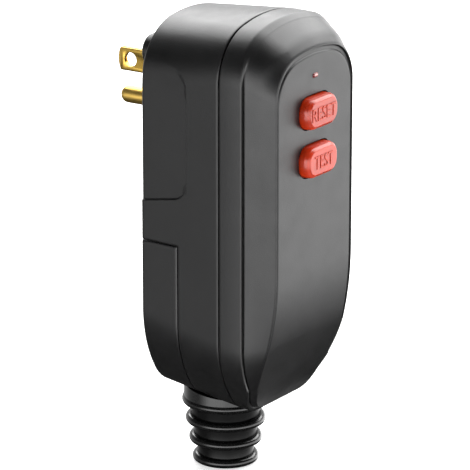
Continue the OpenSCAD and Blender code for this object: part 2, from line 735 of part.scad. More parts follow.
module moving_contacts() color([0.82, 0.6, 0.35])
    opened() for (s = [-1, 1]) {
        box(s*contact_x - 1.6, s*contact_x + 1.6, carrier_y + 0.4, carrier_y + 4.6,
            arm_z - 0.2, arm_z + 0.3);
        translate([s*contact_x, contact_y, arm_z - 1.2]) cylinder(r = 1.5, h = 1.05);
    }

module fixed_contact(s) {
    box(min(s*(blade_x - 1.2), s*(contact_x + 1.5)), max(s*(blade_x - 1.2), s*(contact_x + 1.5)),
        contact_y - 1.8, flange_y - 2.2, blade_width/2, arm_z - 2.25);
    translate([s*contact_x, contact_y, arm_z - 2.3]) cylinder(r = 1.5, h = 1.05);
}

module line_contact() color([0.8, 0.58, 0.3]) fixed_contact(1);

module neutral_contact() color([0.8, 0.58, 0.3]) fixed_contact(-1);

module return_spring() color([0.7, 0.7, 0.72])
    let (length = arm_z + (spring_y - hinge_y)*sin(armature_angle))
    translate([0, spring_y, 0]) wire(helix(1.5, 0.22, 5, length), 0.22, [0, 0, 1]);

// A flexible lead from a moving contact to the board
module lead(s)
    let (y = carrier_y - 0.35,
         z = arm_z + 0.1 + (y - hinge_y)*sin(armature_angle))
    wire([[s*contact_x, y, z], [s*(contact_x + 0.1), y - 1.6, z - 0.3], [s*(contact_x + 0.3), y - 4, z - 2],
          [s*(contact_x + 0.3), board_back + 4.8, 3], [s*(contact_x + 0.2), board_back + 2.4, 1.2],
          [s*contact_x, board_back + 0.55, 0.7]],
         0.7, [1, 0, 0], 6);

module line_lead() color([0.7, 0.4, 0.22]) lead(1);

module neutral_lead() color([0.7, 0.4, 0.22]) lead(-1);

rear_shell();
front_cover();
wiring_cover();
seam_gasket();
housing_screws();
cover_screws();
line_blade();
neutral_blade();
earth_pin();
blade_retainer();
earth_strap();
cord_boot();
cord_clamp();
clamp_screws();
line_terminal();
neutral_terminal();
line_screw();
neutral_screw();
earth_screw();
line_conductor();
neutral_conductor();
reset_button();
test_button();
reset_spring();
test_spring();
reset_switch();
test_switch();
reset_plunger();
test_plunger();
led_lens();
indicator_led();
circuit_board();
controller_chip();
rectifier();
varistor();
film_capacitor();
electrolytic_capacitor();
thyristor();
resistors();
core_case();
sense_core();
neutral_core();
core_lid();
relay_yoke();
relay_core();
relay_bobbin();
relay_coil();
armature();
contact_carrier();
moving_contacts();
line_contact();
neutral_contact();
return_spring();
line_lead();
neutral_lead();
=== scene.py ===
# %% [markdown]
# A plug with a residual-current guard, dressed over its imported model.
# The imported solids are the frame: they say where every piece sits and what moves. This script gives the pieces
# that show finer meshes, and gives every piece a finish. Each step has a text cell first, then short code cells.

import math

import bmesh
import bpy
import numpy as np
from mathutils import Matrix, Vector


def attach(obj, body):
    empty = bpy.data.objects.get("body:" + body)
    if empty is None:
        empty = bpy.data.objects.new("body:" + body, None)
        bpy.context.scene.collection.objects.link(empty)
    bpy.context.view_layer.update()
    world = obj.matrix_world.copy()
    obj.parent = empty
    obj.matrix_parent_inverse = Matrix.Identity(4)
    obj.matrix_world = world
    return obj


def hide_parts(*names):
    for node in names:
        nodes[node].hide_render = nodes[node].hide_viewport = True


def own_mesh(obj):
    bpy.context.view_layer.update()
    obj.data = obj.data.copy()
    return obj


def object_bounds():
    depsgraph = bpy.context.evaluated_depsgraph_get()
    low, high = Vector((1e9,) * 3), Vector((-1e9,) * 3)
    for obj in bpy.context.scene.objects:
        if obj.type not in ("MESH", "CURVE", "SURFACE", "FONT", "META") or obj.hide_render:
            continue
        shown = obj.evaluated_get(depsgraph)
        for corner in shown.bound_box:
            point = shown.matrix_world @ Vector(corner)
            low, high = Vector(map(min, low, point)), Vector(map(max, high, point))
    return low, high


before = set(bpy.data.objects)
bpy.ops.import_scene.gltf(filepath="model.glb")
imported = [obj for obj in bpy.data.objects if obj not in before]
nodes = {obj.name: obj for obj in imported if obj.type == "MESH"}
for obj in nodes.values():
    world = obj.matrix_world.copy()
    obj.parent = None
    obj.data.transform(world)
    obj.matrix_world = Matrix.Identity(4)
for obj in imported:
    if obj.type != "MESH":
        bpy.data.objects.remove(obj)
cad_box = [list(corner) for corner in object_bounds()]
MM = 0.001
print("pieces in the frame:", len(nodes), "box:", [[round(v, 4) for v in corner] for corner in cad_box])

# %% [markdown]
# The camera stands where the photographer stood: to the left of the buttons, a little above, and far away with a
# long lens, because the plug's upright edges stay almost parallel in the picture. Its place follows from one known
# size: the blades are 12.7 mm apart, and that gives the number of pixels to a millimetre.

# %% Camera
AZIMUTH = math.radians(-56)
ELEVATION = math.radians(17)
PICTURE = 470
PIXELS_PER_MM = 3.70
LENS = 260.0
SENSOR = 36.0
AIM = Vector((-3.34, -19.73, -45.14)) * MM



def direction(azimuth, elevation):
    """The way from the plug to a camera or lamp: azimuth 0 is in front, and negative is to the left."""
    return Vector((math.sin(azimuth) * math.cos(elevation), -math.cos(azimuth) * math.cos(elevation),
                   math.sin(elevation)))


def new_object(name, data):
    """A new object in the scene."""
    thing = bpy.data.objects.new(name, data)
    bpy.context.scene.collection.objects.link(thing)
    return thing


back = direction(AZIMUTH, ELEVATION)
camera = new_object("camera", bpy.data.cameras.new("camera"))
camera.data.lens = LENS
camera.data.sensor_width = SENSOR
camera.data.clip_start = 0.05
camera.data.dof.use_dof = False
distance = LENS / SENSOR * PICTURE / PIXELS_PER_MM * MM
camera.location = AIM + back * distance
camera.rotation_mode = "QUATERNION"
camera.rotation_quaternion = (-back).to_track_quat("-Z", "Y")
bpy.context.scene.camera = camera
bpy.context.scene.view_settings.view_transform = "Standard"
print("camera distance in metres:", round(distance, 3))

# %% [markdown]
# Shader maths reads best as plain expressions. A Wire holds one socket, and adding, subtracting or multiplying wires
# puts the Math nodes in. A Tree adds any other node by its type, its settings and the values of its sockets.
# The same two classes serve materials, the world and Geometry Nodes.

# %% Node helpers
class Wire:
    """One output socket of a node tree; arithmetic on it adds Math nodes."""

    def __init__(self, tree, socket):
        self.tree = tree
        self.socket = socket

    def math(self, operation, first, second):
        return self.tree.add("ShaderNodeMath", {"operation": operation}, {0: first, 1: second})

    def __add__(self, other):
        return self.math("ADD", self, other)

    def __sub__(self, other):
        return self.math("SUBTRACT", self, other)

    def __rsub__(self, other):
        return self.math("SUBTRACT", other, self)

    def __mul__(self, other):
        return self.math("MULTIPLY", self, other)

    def __pow__(self, other):
        return self.math("POWER", self, other)

    __radd__ = __add__

    def clip(self, low, high):
        """0 below low, 1 above high, and smooth in between."""
        return self.tree.add("ShaderNodeMapRange", {"interpolation_type": "SMOOTHSTEP"},
                             {"Value": self, "From Min": low, "From Max": high})


class Tree:
    """A node tree, with one method that adds nodes to it and a few that add common ones."""

    def __init__(self, tree):
        self.tree = tree

    def add(self, kind, settings=None, sockets=None, out=0):
        node = self.tree.nodes.new(kind)
        for name, value in (settings or {}).items():
            setattr(node, name, value)
        for name, value in (sockets or {}).items():
            self.feed(node.inputs[name], value)
        return Wire(self, node.outputs[out])

    def feed(self, socket, value):
        if isinstance(value, Wire):
            self.tree.links.new(value.socket, socket)
        else:
            socket.default_value = value

    def blend(self, factor, first, second):
        """A colour between two colours."""
        return self.add("ShaderNodeMix", {"data_type": "RGBA"}, {0: factor, 6: first, 7: second}, out=2)

    def axes(self, vector):
        """The X, Y and Z of a vector."""
        split = self.add("ShaderNodeSeparateXYZ", None, {"Vector": vector})
        return [Wire(self, socket) for socket in split.socket.node.outputs]


class Finish(Tree):
    """A material whose shader is a Principled BSDF."""

    def __init__(self, name):
        self.material = bpy.data.materials.new(name)
        self.material.use_nodes = True
        super().__init__(self.material.node_tree)
        self.shader = next(n for n in self.tree.nodes if n.type == "BSDF_PRINCIPLED")
        self.place = self.add("ShaderNodeTexCoord", out="Object")

    def noise(self, size, detail=2.0, rough=0.5, stretch=None):
        """Cloudy noise whose spots are about size metres across, drawn out along an axis by stretch."""
        place = self.place
        if stretch:
            place = self.add("ShaderNodeMapping", None, {"Vector": place, "Scale": stretch})
        return self.add("ShaderNodeTexNoise", None,
                        {"Vector": place, "Scale": 1 / size, "Detail": detail, "Roughness": rough})

    def bump(self, height, depth):
        return self.add("ShaderNodeBump", None, {"Height": height, "Distance": depth, "Strength": 1.0})

    def set(self, **values):
        """Feeds the shader's inputs, named with underscores for spaces."""
        for name, value in values.items():
            self.feed(self.shader.inputs[name.replace("_", " ")], value)
        return self.material


print("node helpers ready")

# %% [markdown]
# The studio is a pale floor, a white surround and soft lamps. Black plastic shows little colour of its own, so what it
# mirrors gives it its form. A long box above the right side lights the crowned top. White panels stand round the front
# and the left at table height, with a slightly darker joint near the camera, and the room is dark below them and above
# them. That leaves the upper corner and the foot dark, as in the picture. The panels are painted into the surround for
# mirrored rays only. A weak lamp at the left, which is not mirrored, adds to the colour of the buttons.

# %% Floor and surround
FLOOR = 4.0
floor_z = cad_box[0][2]
floor_mesh = bpy.data.meshes.new("floor")
floor_corners = ((-FLOOR, -FLOOR), (FLOOR, -FLOOR), (FLOOR, FLOOR), (-FLOOR, FLOOR))
floor_mesh.from_pydata([(x, y, floor_z) for x, y in floor_corners], [], [(0, 1, 2, 3)])
floor = new_object("floor", floor_mesh)
floor.visible_glossy = False

paper = Finish("pale floor")
seen = paper.add("ShaderNodeLightPath", out="Is Camera Ray")
tone = paper.noise(0.4).clip(0.2, 0.8)
paper.set(Base_Color=paper.blend(tone, (0.86, 0.86, 0.86, 1), (0.89, 0.89, 0.89, 1)), Roughness=0.9)
paper.set(Emission_Color=paper.blend(seen, (0, 0, 0, 1), (0.6, 0.6, 0.6, 1)), Emission_Strength=1.0)
floor_mesh.materials.append(paper.material)

world = bpy.data.worlds.new("white surround")
bpy.context.scene.world = world
world.use_nodes = True
sky = Tree(world.node_tree)
path = sky.add("ShaderNodeLightPath").socket.node
camera_ray, clear_ray, mirror_ray = (Wire(sky, path.outputs["Is " + kind + " Ray"])
                                     for kind in ("Camera", "Transmission", "Glossy"))
to_x, to_y, to_z = sky.axes(sky.add("ShaderNodeTexCoord", out="Generated"))
LEFT_PANEL, RIGHT_LOSS, JOINT_LOSS = 4.2, 1.4, 0.2
BEHIND, WALLS, ROOM, AMBIENT = 0.45, 0.4, 0.06, 0.15
table_height = to_z.clip(-0.5, -0.26) * (1 - to_z.clip(0.02, 0.32))
joint = (to_x * -0.64 - to_y * 0.77).clip(0.87, 0.935)
brightness = LEFT_PANEL - to_x.clip(-0.5, 0.5) * RIGHT_LOSS
panels = (1 - to_y.clip(0.08, 0.72)) * table_height * brightness * (1 - joint * JOINT_LOSS)
behind = (to_x * 0.83 + to_y * 0.56).clip(0.3, 0.8) * (1 - to_z.clip(0.35, 0.7)) * to_z.clip(-0.5, -0.2) * BEHIND
mirrored = panels + behind + table_height * WALLS + ROOM
level = camera_ray + clear_ray + mirror_ray * mirrored
level = level + (1 - level.clip(0.0, 0.01)) * AMBIENT
background = next(n for n in world.node_tree.nodes if n.type == "BACKGROUND")
background.inputs["Color"].default_value = (1, 1, 1, 1)
sky.feed(background.inputs["Strength"], level)
print("floor at", round(floor_z, 4))

# %% Lamps
LIT = Vector((0, -0.02, -0.04))


def lamp(name, azimuth, elevation, away, wide, high, watts, shows=True):
    """A soft box that faces the plug; shows says whether it is mirrored."""
    towards = direction(math.radians(azimuth), math.radians(elevation))
    light = bpy.data.lights.new(name, "AREA")
    light.shape = "RECTANGLE"
    light.size, light.size_y = wide, high
    light.energy = watts
    thing = new_object(name, light)
    thing.location = LIT + towards * away
    thing.rotation_mode = "QUATERNION"
    thing.rotation_quaternion = (-towards).to_track_quat("-Z", "Y")
    thing.visible_camera = False
    thing.visible_glossy = shows


lamp("top box", 104, 51, 0.9, 1.65, 1.0, 29.0)
lamp("left box", -90, 10, 1.0, 0.5, 0.6, 2.5, False)

# %% [markdown]
# The housing is a glass-filled plastic, black, moulded in a tool with a fine spark texture. Up close it has a grain of
# about a quarter of a millimetre, and it is a little shinier where hands rub it. The grain is a bump, the rub marks
# are a slow change in roughness.

# %% Housing finish
def moulded(name, colour, rough, grain=0.25, depth=0.012, shine=0.5):
    """Moulded plastic: an even colour, a fine grain and faint rub marks."""
    finish = Finish(name)
    cloud = finish.noise(0.018, 3.0)
    marks = finish.noise(0.006, 4.0, 0.6)
    grain_height = finish.noise(grain * MM, 2.0, 0.6)
    darker = tuple(c * 0.86 for c in colour)
    lighter = tuple(min(1.0, c * 1.14) for c in colour)
    finish.set(Base_Color=finish.blend(cloud.clip(0.3, 0.7), (*darker, 1), (*lighter, 1)),
               Roughness=rough - 0.03 + marks.clip(0.3, 0.75) * 0.06,
               Specular_IOR_Level=shine,
               Normal=finish.bump(grain_height, depth * MM))
    return finish.material


housing_black = moulded("housing plastic", (0.008, 0.008, 0.0083), 0.36, 0.3, 0.03, 0.5)
print("finish:", housing_black.name)

# %% [markdown]
# The buttons are a shinier plastic without grain, so the lamps leave a soft, broad sheen on them. Their letters have
# painted shade: their sides are coloured darker than their tops. The boot is a soft rubber, polished by handling on
# its ribs and dull between them.
# The blades are rolled brass: fine streaks run along them, and handling leaves dull patches.

# %% Button, boot and metal finishes
button_red = moulded("button plastic", (0.73, 0.043, 0.006), 0.3, 0.6, 0.004, 0.7)
seal_rubber = moulded("seal rubber", (0.008, 0.008, 0.008), 0.7, 0.5, 0.01, 0.3)

CORD_Y, RIB_TOP, RIB_FIRST, RIB_TAPER = -14.4, -93.6, 12.1, 0.172
rubber = Finish("boot rubber")
rub_x, rub_y, rub_z = rubber.axes(rubber.place)
cord_y = rub_y - CORD_Y * MM
from_axis = (rub_x * rub_x + cord_y * cord_y) ** 0.5
rib_radius = rub_z.math("MINIMUM", RIB_FIRST * MM + (rub_z - RIB_TOP * MM) * RIB_TAPER, RIB_FIRST * MM)
on_rib = (from_axis - rib_radius).clip(-2.2 * MM, -0.9 * MM)
pores = rubber.noise(0.0009, 2.0, 0.6)
speckle = pores.clip(0.3, 0.7)
boot_rubber = rubber.set(Base_Color=rubber.blend(speckle, (0.005, 0.005, 0.005, 1), (0.007, 0.007, 0.0072, 1)),
                         Roughness=0.3 + speckle * 0.06, Specular_IOR_Level=0.06,
                         Coat_Weight=on_rib * 0.8, Coat_Roughness=0.14, Normal=rubber.bump(pores, 0.006 * MM))

letters = Finish("button letters")
# Painted shade: the letters' sides are coloured a darker red than their tops, by the way each face points.
_, front_on, _ = letters.axes(letters.add("ShaderNodeTexCoord", out="Normal"))
painted_lit_top = (0 - front_on).clip(0.4, 0.8)
worn = letters.noise(0.0008, 3.0).clip(0.3, 0.7)
letter_red = letters.set(Base_Color=letters.blend(painted_lit_top, (0.4, 0.022, 0.006, 1), (0.80, 0.06, 0.015, 1)),
                         Roughness=0.34 + worn * 0.08)


def metal(name, colour, rough, streak=(1, 1, 1), wear=0.1):
    """Metal with fine streaks along one axis and duller patches."""
    finish = Finish(name)
    lines = finish.noise(0.0007, 3.0, 0.6, streak)
    patches = finish.noise(0.004, 3.0)
    dull = tuple(c * 0.82 for c in colour)
    finish.set(Base_Color=finish.blend(patches.clip(0.45, 0.75), (*colour, 1), (*dull, 1)),
               Metallic=1.0,
               Roughness=rough + lines.clip(0.3, 0.7) * wear + patches.clip(0.5, 0.8) * wear,
               Normal=finish.bump(lines, 0.004 * MM))
    return finish.material


blade_brass = metal("blade brass", (0.80, 0.52, 0.11), 0.2, (1, 0.06, 1))
pin_brass = metal("pin brass", (0.82, 0.55, 0.14), 0.34, (1, 0.06, 1))
inner_brass = metal("terminal brass", (0.74, 0.5, 0.2), 0.3)
screw_steel = metal("plated steel", (0.6, 0.6, 0.61), 0.28)
spring_steel = metal("spring steel", (0.55, 0.55, 0.54), 0.25)
iron = metal("relay iron", (0.45, 0.45, 0.46), 0.38)
copper = metal("enamelled copper", (0.7, 0.3, 0.12), 0.3)
green_screw = metal("green screw", (0.1, 0.36, 0.16), 0.35)
print("finishes:", len(bpy.data.materials))

# %% [markdown]
# The lens is a tinted light pipe. Painted glow: its middle is coloured pale and gives off a faint pink light of its
# own, and its edge is a deeper red.

# %% Lens finish
LED_Z = 2.1
glow = Finish("indicator lens")
lens_x, _, lens_z = glow.axes(glow.place)
off_x, off_z = lens_x * 0.5, lens_z - LED_Z * MM
edge = ((off_x * off_x + off_z * off_z) ** 0.5).clip(0.22 * MM, 0.5 * MM)
# Painted glow: the middle is pale and emits a faint pink light, and towards the edge both fade to a deep red.
lens_pink = glow.set(Base_Color=glow.blend(edge, (0.9, 0.55, 0.52, 1), (0.16, 0.01, 0.01, 1)), Roughness=0.12,
                     Emission_Color=glow.blend(edge, (0.3, 0.13, 0.12, 1), (0.02, 0.0, 0.0, 1)), Emission_Strength=1.0)
print("finish:", lens_pink.name)

# %% [markdown]
# Meshes come next. The two shells are lofts: a closed outline is drawn at several depths and the rings are skinned.
# The outline is made of arcs that meet smoothly: a crowned top, round upper corners, straight sides, and a long sweep
# down to a narrow foot. The sizes are in millimetres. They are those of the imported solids, apart from corner radii
# that were matched to the picture afterwards.

# %% Outline of the housing
SEAM_HALF, SEAM_TOP, SEAM_FOOT = 23.5, 17.4, 91.5
REAR_HALF, REAR_TOP, REAR_FOOT = SEAM_HALF - 1.2, SEAM_TOP - 2.0, SEAM_FOOT - 3.5
REAR_Y, SEAM_Y = -2.0, -28.0
SEAL = 0.4
WALL, FLOOR_Z = 2.2, -84.5
CROWN = 50.0
TOE, INNER_TOE, LEAST_TOE = 12.0, 3.0, 0.6
CORNER_REAR, CORNER_SEAM = 17.0, 14.5
SWEEP_REAR, SWEEP_SEAM = (34.0, -63.8), (27.0, -69.1)
SPLIT_Z, COVER_GAP = -44.4, 0.3
GRIP_LOW, GRIP_FRONT, GRIP_CORNER, GRIP_DEEP = -32.2, -17.3, 4.0, 0.5


def arc(centre, radius, start, end, count, first=0):
    angles = np.radians(np.linspace(start, end, count + 1)[first:])
    return np.stack([centre[0] + radius * np.cos(angles), centre[1] + radius * np.sin(angles)], 1)


def half_outline(half, top, foot, crown, corner, sweep, sweep_z, toe, levels):
    """Points in X and Z from the top centre down the left side to the foot, with given levels on the straight side."""
    cz = top - crown + math.sqrt((crown - corner) ** 2 - (half - corner) ** 2)
    a1 = math.degrees(math.atan2(cz - top + crown, corner - half))
    bx, fz = sweep - half, foot + toe
    fx = bx - math.sqrt((sweep - toe) ** 2 - (sweep_z - fz) ** 2)
    a2 = 360 + math.degrees(math.atan2(fz - sweep_z, fx - bx))
    side = np.array([[-half, z] for z in levels])
    return np.concatenate([arc((0, top - crown), crown, 90, a1, 14),
                           arc((corner - half, cz), corner, a1, 180, 46, 1),
                           side,
                           arc((bx, sweep_z), sweep, 180, a2, 30),
                           arc((fx, fz), toe, a2, 270, 7, 1)])


def spaced(low, high, gap):
    return list(np.linspace(low, high, max(2, int(round(abs(high - low) / gap)) + 1)))


near_split = [SPLIT_Z + d for d in (0.6, 0.3, 0.0, -0.15, -0.3, -0.6, -0.9)]
side_levels = (spaced(-3.5, -29.5, 1.3) + spaced(-29.9, -34.7, 0.16) + spaced(-35.5, -43.5, 1.3)
               + near_split + spaced(-46, -60.5, 1.2))
seam_half = half_outline(SEAM_HALF, SEAM_TOP, -SEAM_FOOT, CROWN, CORNER_SEAM, *SWEEP_SEAM, TOE, side_levels)
print("points on half an outline:", len(seam_half))

# %% Rings, lofts and cuts
def closed(half, depths):
    """A half outline and the depth of each of its points, closed into one ring."""
    left = np.stack([half[:, 0], np.broadcast_to(depths, len(half)), half[:, 1]], 1)
    right = left[1:][::-1] * (-1, 1, 1)
    return np.concatenate([left, right])


def solid(name, points, faces, material, smooth=32):
    """A piece from points in millimetres, shaded smooth up to an angle."""
    mesh = bpy.data.meshes.new(name)
    mesh.from_pydata((np.asarray(points) * MM).tolist(), [], faces)
    mesh.validate()
    thing = new_object(name, mesh)
    outward(mesh)
    finish_mesh(thing, material, smooth)
    return thing


def outward(mesh):
    """Joins doubled points and turns all faces outwards."""
    work = bmesh.new()
    work.from_mesh(mesh)
    bmesh.ops.remove_doubles(work, verts=work.verts, dist=1e-7)
    bmesh.ops.recalc_face_normals(work, faces=work.faces)
    work.to_mesh(mesh)
    work.free()


def finish_mesh(thing, material, smooth=32):
    """One material, and smooth shading up to an angle."""
    mesh = thing.data
    mesh.materials.clear()
    mesh.materials.append(material)
    mesh.polygons.foreach_set("material_index", [0] * len(mesh.polygons))
    mesh.shade_smooth()
    mesh.set_sharp_from_angle(angle=math.radians(smooth))


def loft(name, rings, material, smooth=32):
    """Skins closed rings of equal count, and caps both ends with strips from side to side."""
    count, n = len(rings), len(rings[0])
    half = (n + 1) // 2
    faces = [(k * n + i, k * n + (i + 1) % n, (k + 1) * n + (i + 1) % n, (k + 1) * n + i)
             for k in range(count - 1) for i in range(n)]
    for base in (0, (count - 1) * n):
        faces.append((base, base + n - 1, base + 1))
        faces += [(base + i, base + n - i, base + n - i - 1, base + i + 1) for i in range(1, half - 1)]
    return solid(name, np.concatenate(rings), faces, material, smooth)


def applied(thing):
    """A plain mesh of a piece as its modifiers show it."""
    return bpy.data.meshes.new_from_object(thing.evaluated_get(bpy.context.evaluated_depsgraph_get()))


def combine(thing, other, how):
    """Adds, cuts or keeps the shared part of two closed meshes, and deletes the second."""
    change = thing.modifiers.new("combine", "BOOLEAN")
    change.object, change.operation, change.solver = other, how, "MANIFOLD"
    shape = applied(thing)
    thing.modifiers.clear()
    shape.name = thing.data.name
    bpy.data.meshes.remove(other.data)
    thing.data = shape
    return thing


def box(x0, x1, y0, y1, z0, z1):
    """A plain block, for cutting or joining."""
    corners = [(x, y, z) for x in (x0, x1) for y in (y0, y1) for z in (z0, z1)]
    faces = [(0, 1, 3, 2), (4, 6, 7, 5), (0, 4, 5, 1), (2, 3, 7, 6), (0, 2, 6, 4), (1, 5, 7, 3)]
    return solid("cutter", corners, faces, housing_black)


def lathe(name, profile, material, centre=(0, 0, 0), axis="Y", steps=64, smooth=32):
    """Turns a closed profile of radius and height about an axis through the centre."""
    profile = np.asarray(profile, float)
    turn = np.linspace(0, 2 * math.pi, steps, endpoint=False)
    r, h = profile[:, 0][:, None], np.broadcast_to(profile[:, 1][:, None], (len(profile), steps))
    u, v = r * np.cos(turn), r * np.sin(turn)
    places = np.stack([u, h, v] if axis == "Y" else [u, v, h], 2).reshape(-1, 3) + np.asarray(centre)
    m = len(profile)
    faces = [(i * steps + k, i * steps + (k + 1) % steps,
              (i + 1) % m * steps + (k + 1) % steps, (i + 1) % m * steps + k)
             for i in range(m) for k in range(steps)]
    return solid(name, places, faces, material, smooth)


def rod(x, z, y0, y1, r):
    """A plain round cutter or post along Y."""
    return lathe("cutter", [(0, y0), (r, y0), (r, y1), (0, y1)], housing_black, (x, 0, z), steps=48)


print("mesh helpers ready")

# %% [markdown]
# The rear shell is drafted: each ring is a little larger towards the seam. Its side carries a shallow recess for the
# thumb and a fine split line round the wiring cover. Both are pressed into the rings before they are skinned, so the
# light catches a real step. The wiring cover is the part of the same cup beyond the split.

# %% Rear cup
def rear_half_outline(y, inset, foot=None):
    """The rear shell's outline at one depth; with a given foot it is the inner one, down to a flat floor."""
    t = (y - REAR_Y) / (SEAM_Y - REAR_Y)
    mix = lambda a, b: a + (b - a) * t
    low, toe = (-mix(REAR_FOOT, SEAM_FOOT) + inset, max(TOE - inset, LEAST_TOE)) if foot is None else (foot, INNER_TOE)
    return half_outline(mix(REAR_HALF, SEAM_HALF) - inset, mix(REAR_TOP, SEAM_TOP) - inset, low, CROWN - inset,
                        mix(CORNER_REAR, CORNER_SEAM) - inset, mix(SWEEP_REAR[0], SWEEP_SEAM[0]) - inset,
                        mix(SWEEP_REAR[1], SWEEP_SEAM[1]), toe, side_levels)


def step(x, low, high):
    """0 below low, 1 above high, and smooth in between."""
    t = np.clip((x - low) / (high - low), 0, 1)
    return t * t * (3 - 2 * t)


def relief(y, z):
    """How far the side is pressed in, in millimetres: the thumb recess and the split line."""
    low = GRIP_LOW - 0.18 * (y + 9) - z
    high = z - 5.45 - 0.295 * (y + 7.8)
    u, v = GRIP_FRONT - y + GRIP_CORNER, np.maximum(low, high) + GRIP_CORNER
    away = np.minimum(np.maximum(u, v), 0) + np.hypot(np.maximum(u, 0), np.maximum(v, 0)) - GRIP_CORNER
    recess = GRIP_DEEP * (1 - step(away, -0.2, 0.2)) * (1 - step(z, -1.0, 6.0))
    across = np.abs(z - SPLIT_Z + COVER_GAP / 2) + np.where(y > CORD_Y, 0, 9)
    down = np.abs(y - CORD_Y - COVER_GAP / 2) + np.where(z < SPLIT_Z + 0.3, 0, 9)
    line = 0.16 * (1 - step(np.minimum(across, down), 0.12, 0.5))
    return recess + line


def rear_ring(y, inset):
    """One ring of the rear shell's outside, with its relief."""
    plain = rear_half_outline(y, inset)
    moved = rear_half_outline(y, inset + 1.0)
    press = relief(y, plain[:, 1])[:, None]
    return closed(plain + (moved - plain) * press, y)


EDGE = 1.0
SEAM_ROUND = 0.3
rear_inner = [closed(rear_half_outline(y, WALL, FLOOR_Z), y) for y in (REAR_Y - WALL, SEAM_Y + SEAL / 2)]
seam_edge = [rear_ring(SEAM_Y + SEAL / 2 + SEAM_ROUND * (1 - math.sin(a)), SEAM_ROUND * (1 - math.cos(a)))
             for a in np.radians([90, 60, 30, 0])]
depths = (spaced(-27, -18.6, 1.4) + spaced(-18.2, -17.8, 0.2) + spaced(-17.6, -16.9, 0.1)
          + spaced(-16.6, -15.2, 0.2) + [CORD_Y + d for d in (-0.5, -0.25, 0, 0.15, 0.3, 0.55, 0.8)]
          + spaced(-13.1, -3.4, 0.5))
rear_edge = [rear_ring(REAR_Y - EDGE + EDGE * math.sin(a), EDGE * (1 - math.cos(a)))
             for a in np.radians(np.linspace(0, 90, 9))]
cup_rings = rear_inner + seam_edge + [rear_ring(y, 0) for y in depths] + rear_edge
cup = loft("rear_shell_moulding", cup_rings, housing_black)
print("rear cup:", len(cup.data.polygons), "faces")

# %% Wiring cover
HEAD_SEAT, HEAD_R, SCREW_R, BOSS_R = -6.0, 2.8, 1.5, 4.4
COVER_SPOTS = [(-15.5, -68.5), (15.5, -68.5)]
SCREW_SPOTS = [(-14.5, 6.2), (14.5, 6.2), (-14.5, -38.3), (14.5, -38.3)]
FAR, BOOT_HOLE_R = 150, 7.05


def boot_hole():
    """A cutter for the round hole that the boot's neck passes through."""
    profile = [(0, -FAR), (BOOT_HOLE_R, -FAR), (BOOT_HOLE_R, -82), (0, -82)]
    return lathe("cutter", profile, housing_black, (0, CORD_Y, 0), "Z")


cover = cup.copy()
cover.data = cup.data.copy()
cover.name = cover.data.name = "wiring_cover_moulding"
bpy.context.scene.collection.objects.link(cover)
combine(cover, box(-FAR, FAR, CORD_Y + COVER_GAP, FAR, -FAR, SPLIT_Z - COVER_GAP), "INTERSECT")
combine(cover, boot_hole(), "DIFFERENCE")
for x, z in COVER_SPOTS:
    combine(cover, rod(x, z, HEAD_SEAT - 2, REAR_Y - 1, BOSS_R), "UNION")
    combine(cover, rod(x, z, HEAD_SEAT, 1, HEAD_R + 0.3), "DIFFERENCE")
    combine(cover, rod(x, z, -FAR, 1, SCREW_R + 0.1), "DIFFERENCE")
finish_mesh(cover, housing_black)
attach(cover, "housing")
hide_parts("wiring_cover")
print("wiring cover:", len(cover.data.polygons), "faces")

# %% [markdown]
# The blade face is a low pad: a triangle with round corners, two of them round the upper screws and one round the
# earth pin. It is lofted and joined to the shell, and the slots for the blades and the recesses for the screws are cut
# through both.

# %% Rear shell
def rounded_ring(wide, high, radius, y, z=0.0, inset=0.0, steps=8):
    """A rounded rectangle in X and Z as a ring that starts at the top centre."""
    w, h, r = wide / 2 - inset, high / 2 - inset, max(radius - inset, 0.2)
    half = np.concatenate([[[0, h]], arc((r - w, h - r), r, 90, 180, steps),
                           arc((r - w, r - h), r, 180, 270, steps)])
    return closed(half + (0, z), y)


PAD_CORNER, PAD_FOOT = (-14.5, 6.2, 4.4), (0.0, -11.9, 6.4)
PAD_ROUND = 1.0


def pad_ring(y, inset):
    """The pad's outline: two upper corners and one lower, joined by their tangents."""
    (ax, az, ar), (bx, bz, br) = PAD_CORNER, PAD_FOOT
    turn = math.degrees(math.atan2(az - bz, ax - bx) + math.acos((br - ar) / math.hypot(ax - bx, az - bz)))
    half = np.concatenate([[[0, az + ar - inset]], arc((ax, az), ar - inset, 90, turn, 18),
                           arc((bx, bz), br - inset, turn, 270, 10)])
    return closed(half[:-1] if abs(half[-1, 0]) < 1e-6 else half, y)


pad_edge = [(PAD_ROUND * (math.sin(a) - 1), PAD_ROUND * (1 - math.cos(a)))
            for a in np.radians(np.linspace(0, 90, 7))]
pad = loft("cutter", [pad_ring(REAR_Y - 1, 0)] + [pad_ring(y, inset) for y, inset in pad_edge], housing_black)
shell = combine(cup, box(-FAR, FAR, CORD_Y, FAR, -FAR, SPLIT_Z), "DIFFERENCE")
combine(shell, pad, "UNION")
shelf = box(-20.4, 20.4, -21, -3.2, SPLIT_Z, SPLIT_Z + 2)
combine(shell, shelf, "UNION")
combine(shell, boot_hole(), "DIFFERENCE")
for x, z in SCREW_SPOTS:
    combine(shell, rod(x, z, HEAD_SEAT - 2, REAR_Y - 1, BOSS_R), "UNION")
    combine(shell, rod(x, z, HEAD_SEAT, 1, HEAD_R + 0.3), "DIFFERENCE")
    combine(shell, rod(x, z, -FAR, 1, SCREW_R + 0.2), "DIFFERENCE")
BLADE_X, BLADE_THICK, BLADE_WIDE, PIN_DROP, PIN_NECK = 6.35, 1.5, 6.35, 11.9, 2.6
SLOT, ROOT_Y = 0.1, -12.0
slot_x, slot_z = BLADE_THICK / 2 + SLOT, BLADE_WIDE / 2 + SLOT
for x in (-BLADE_X, BLADE_X):
    combine(shell, box(x - slot_x, x + slot_x, ROOT_Y, 1, -slot_z, slot_z), "DIFFERENCE")
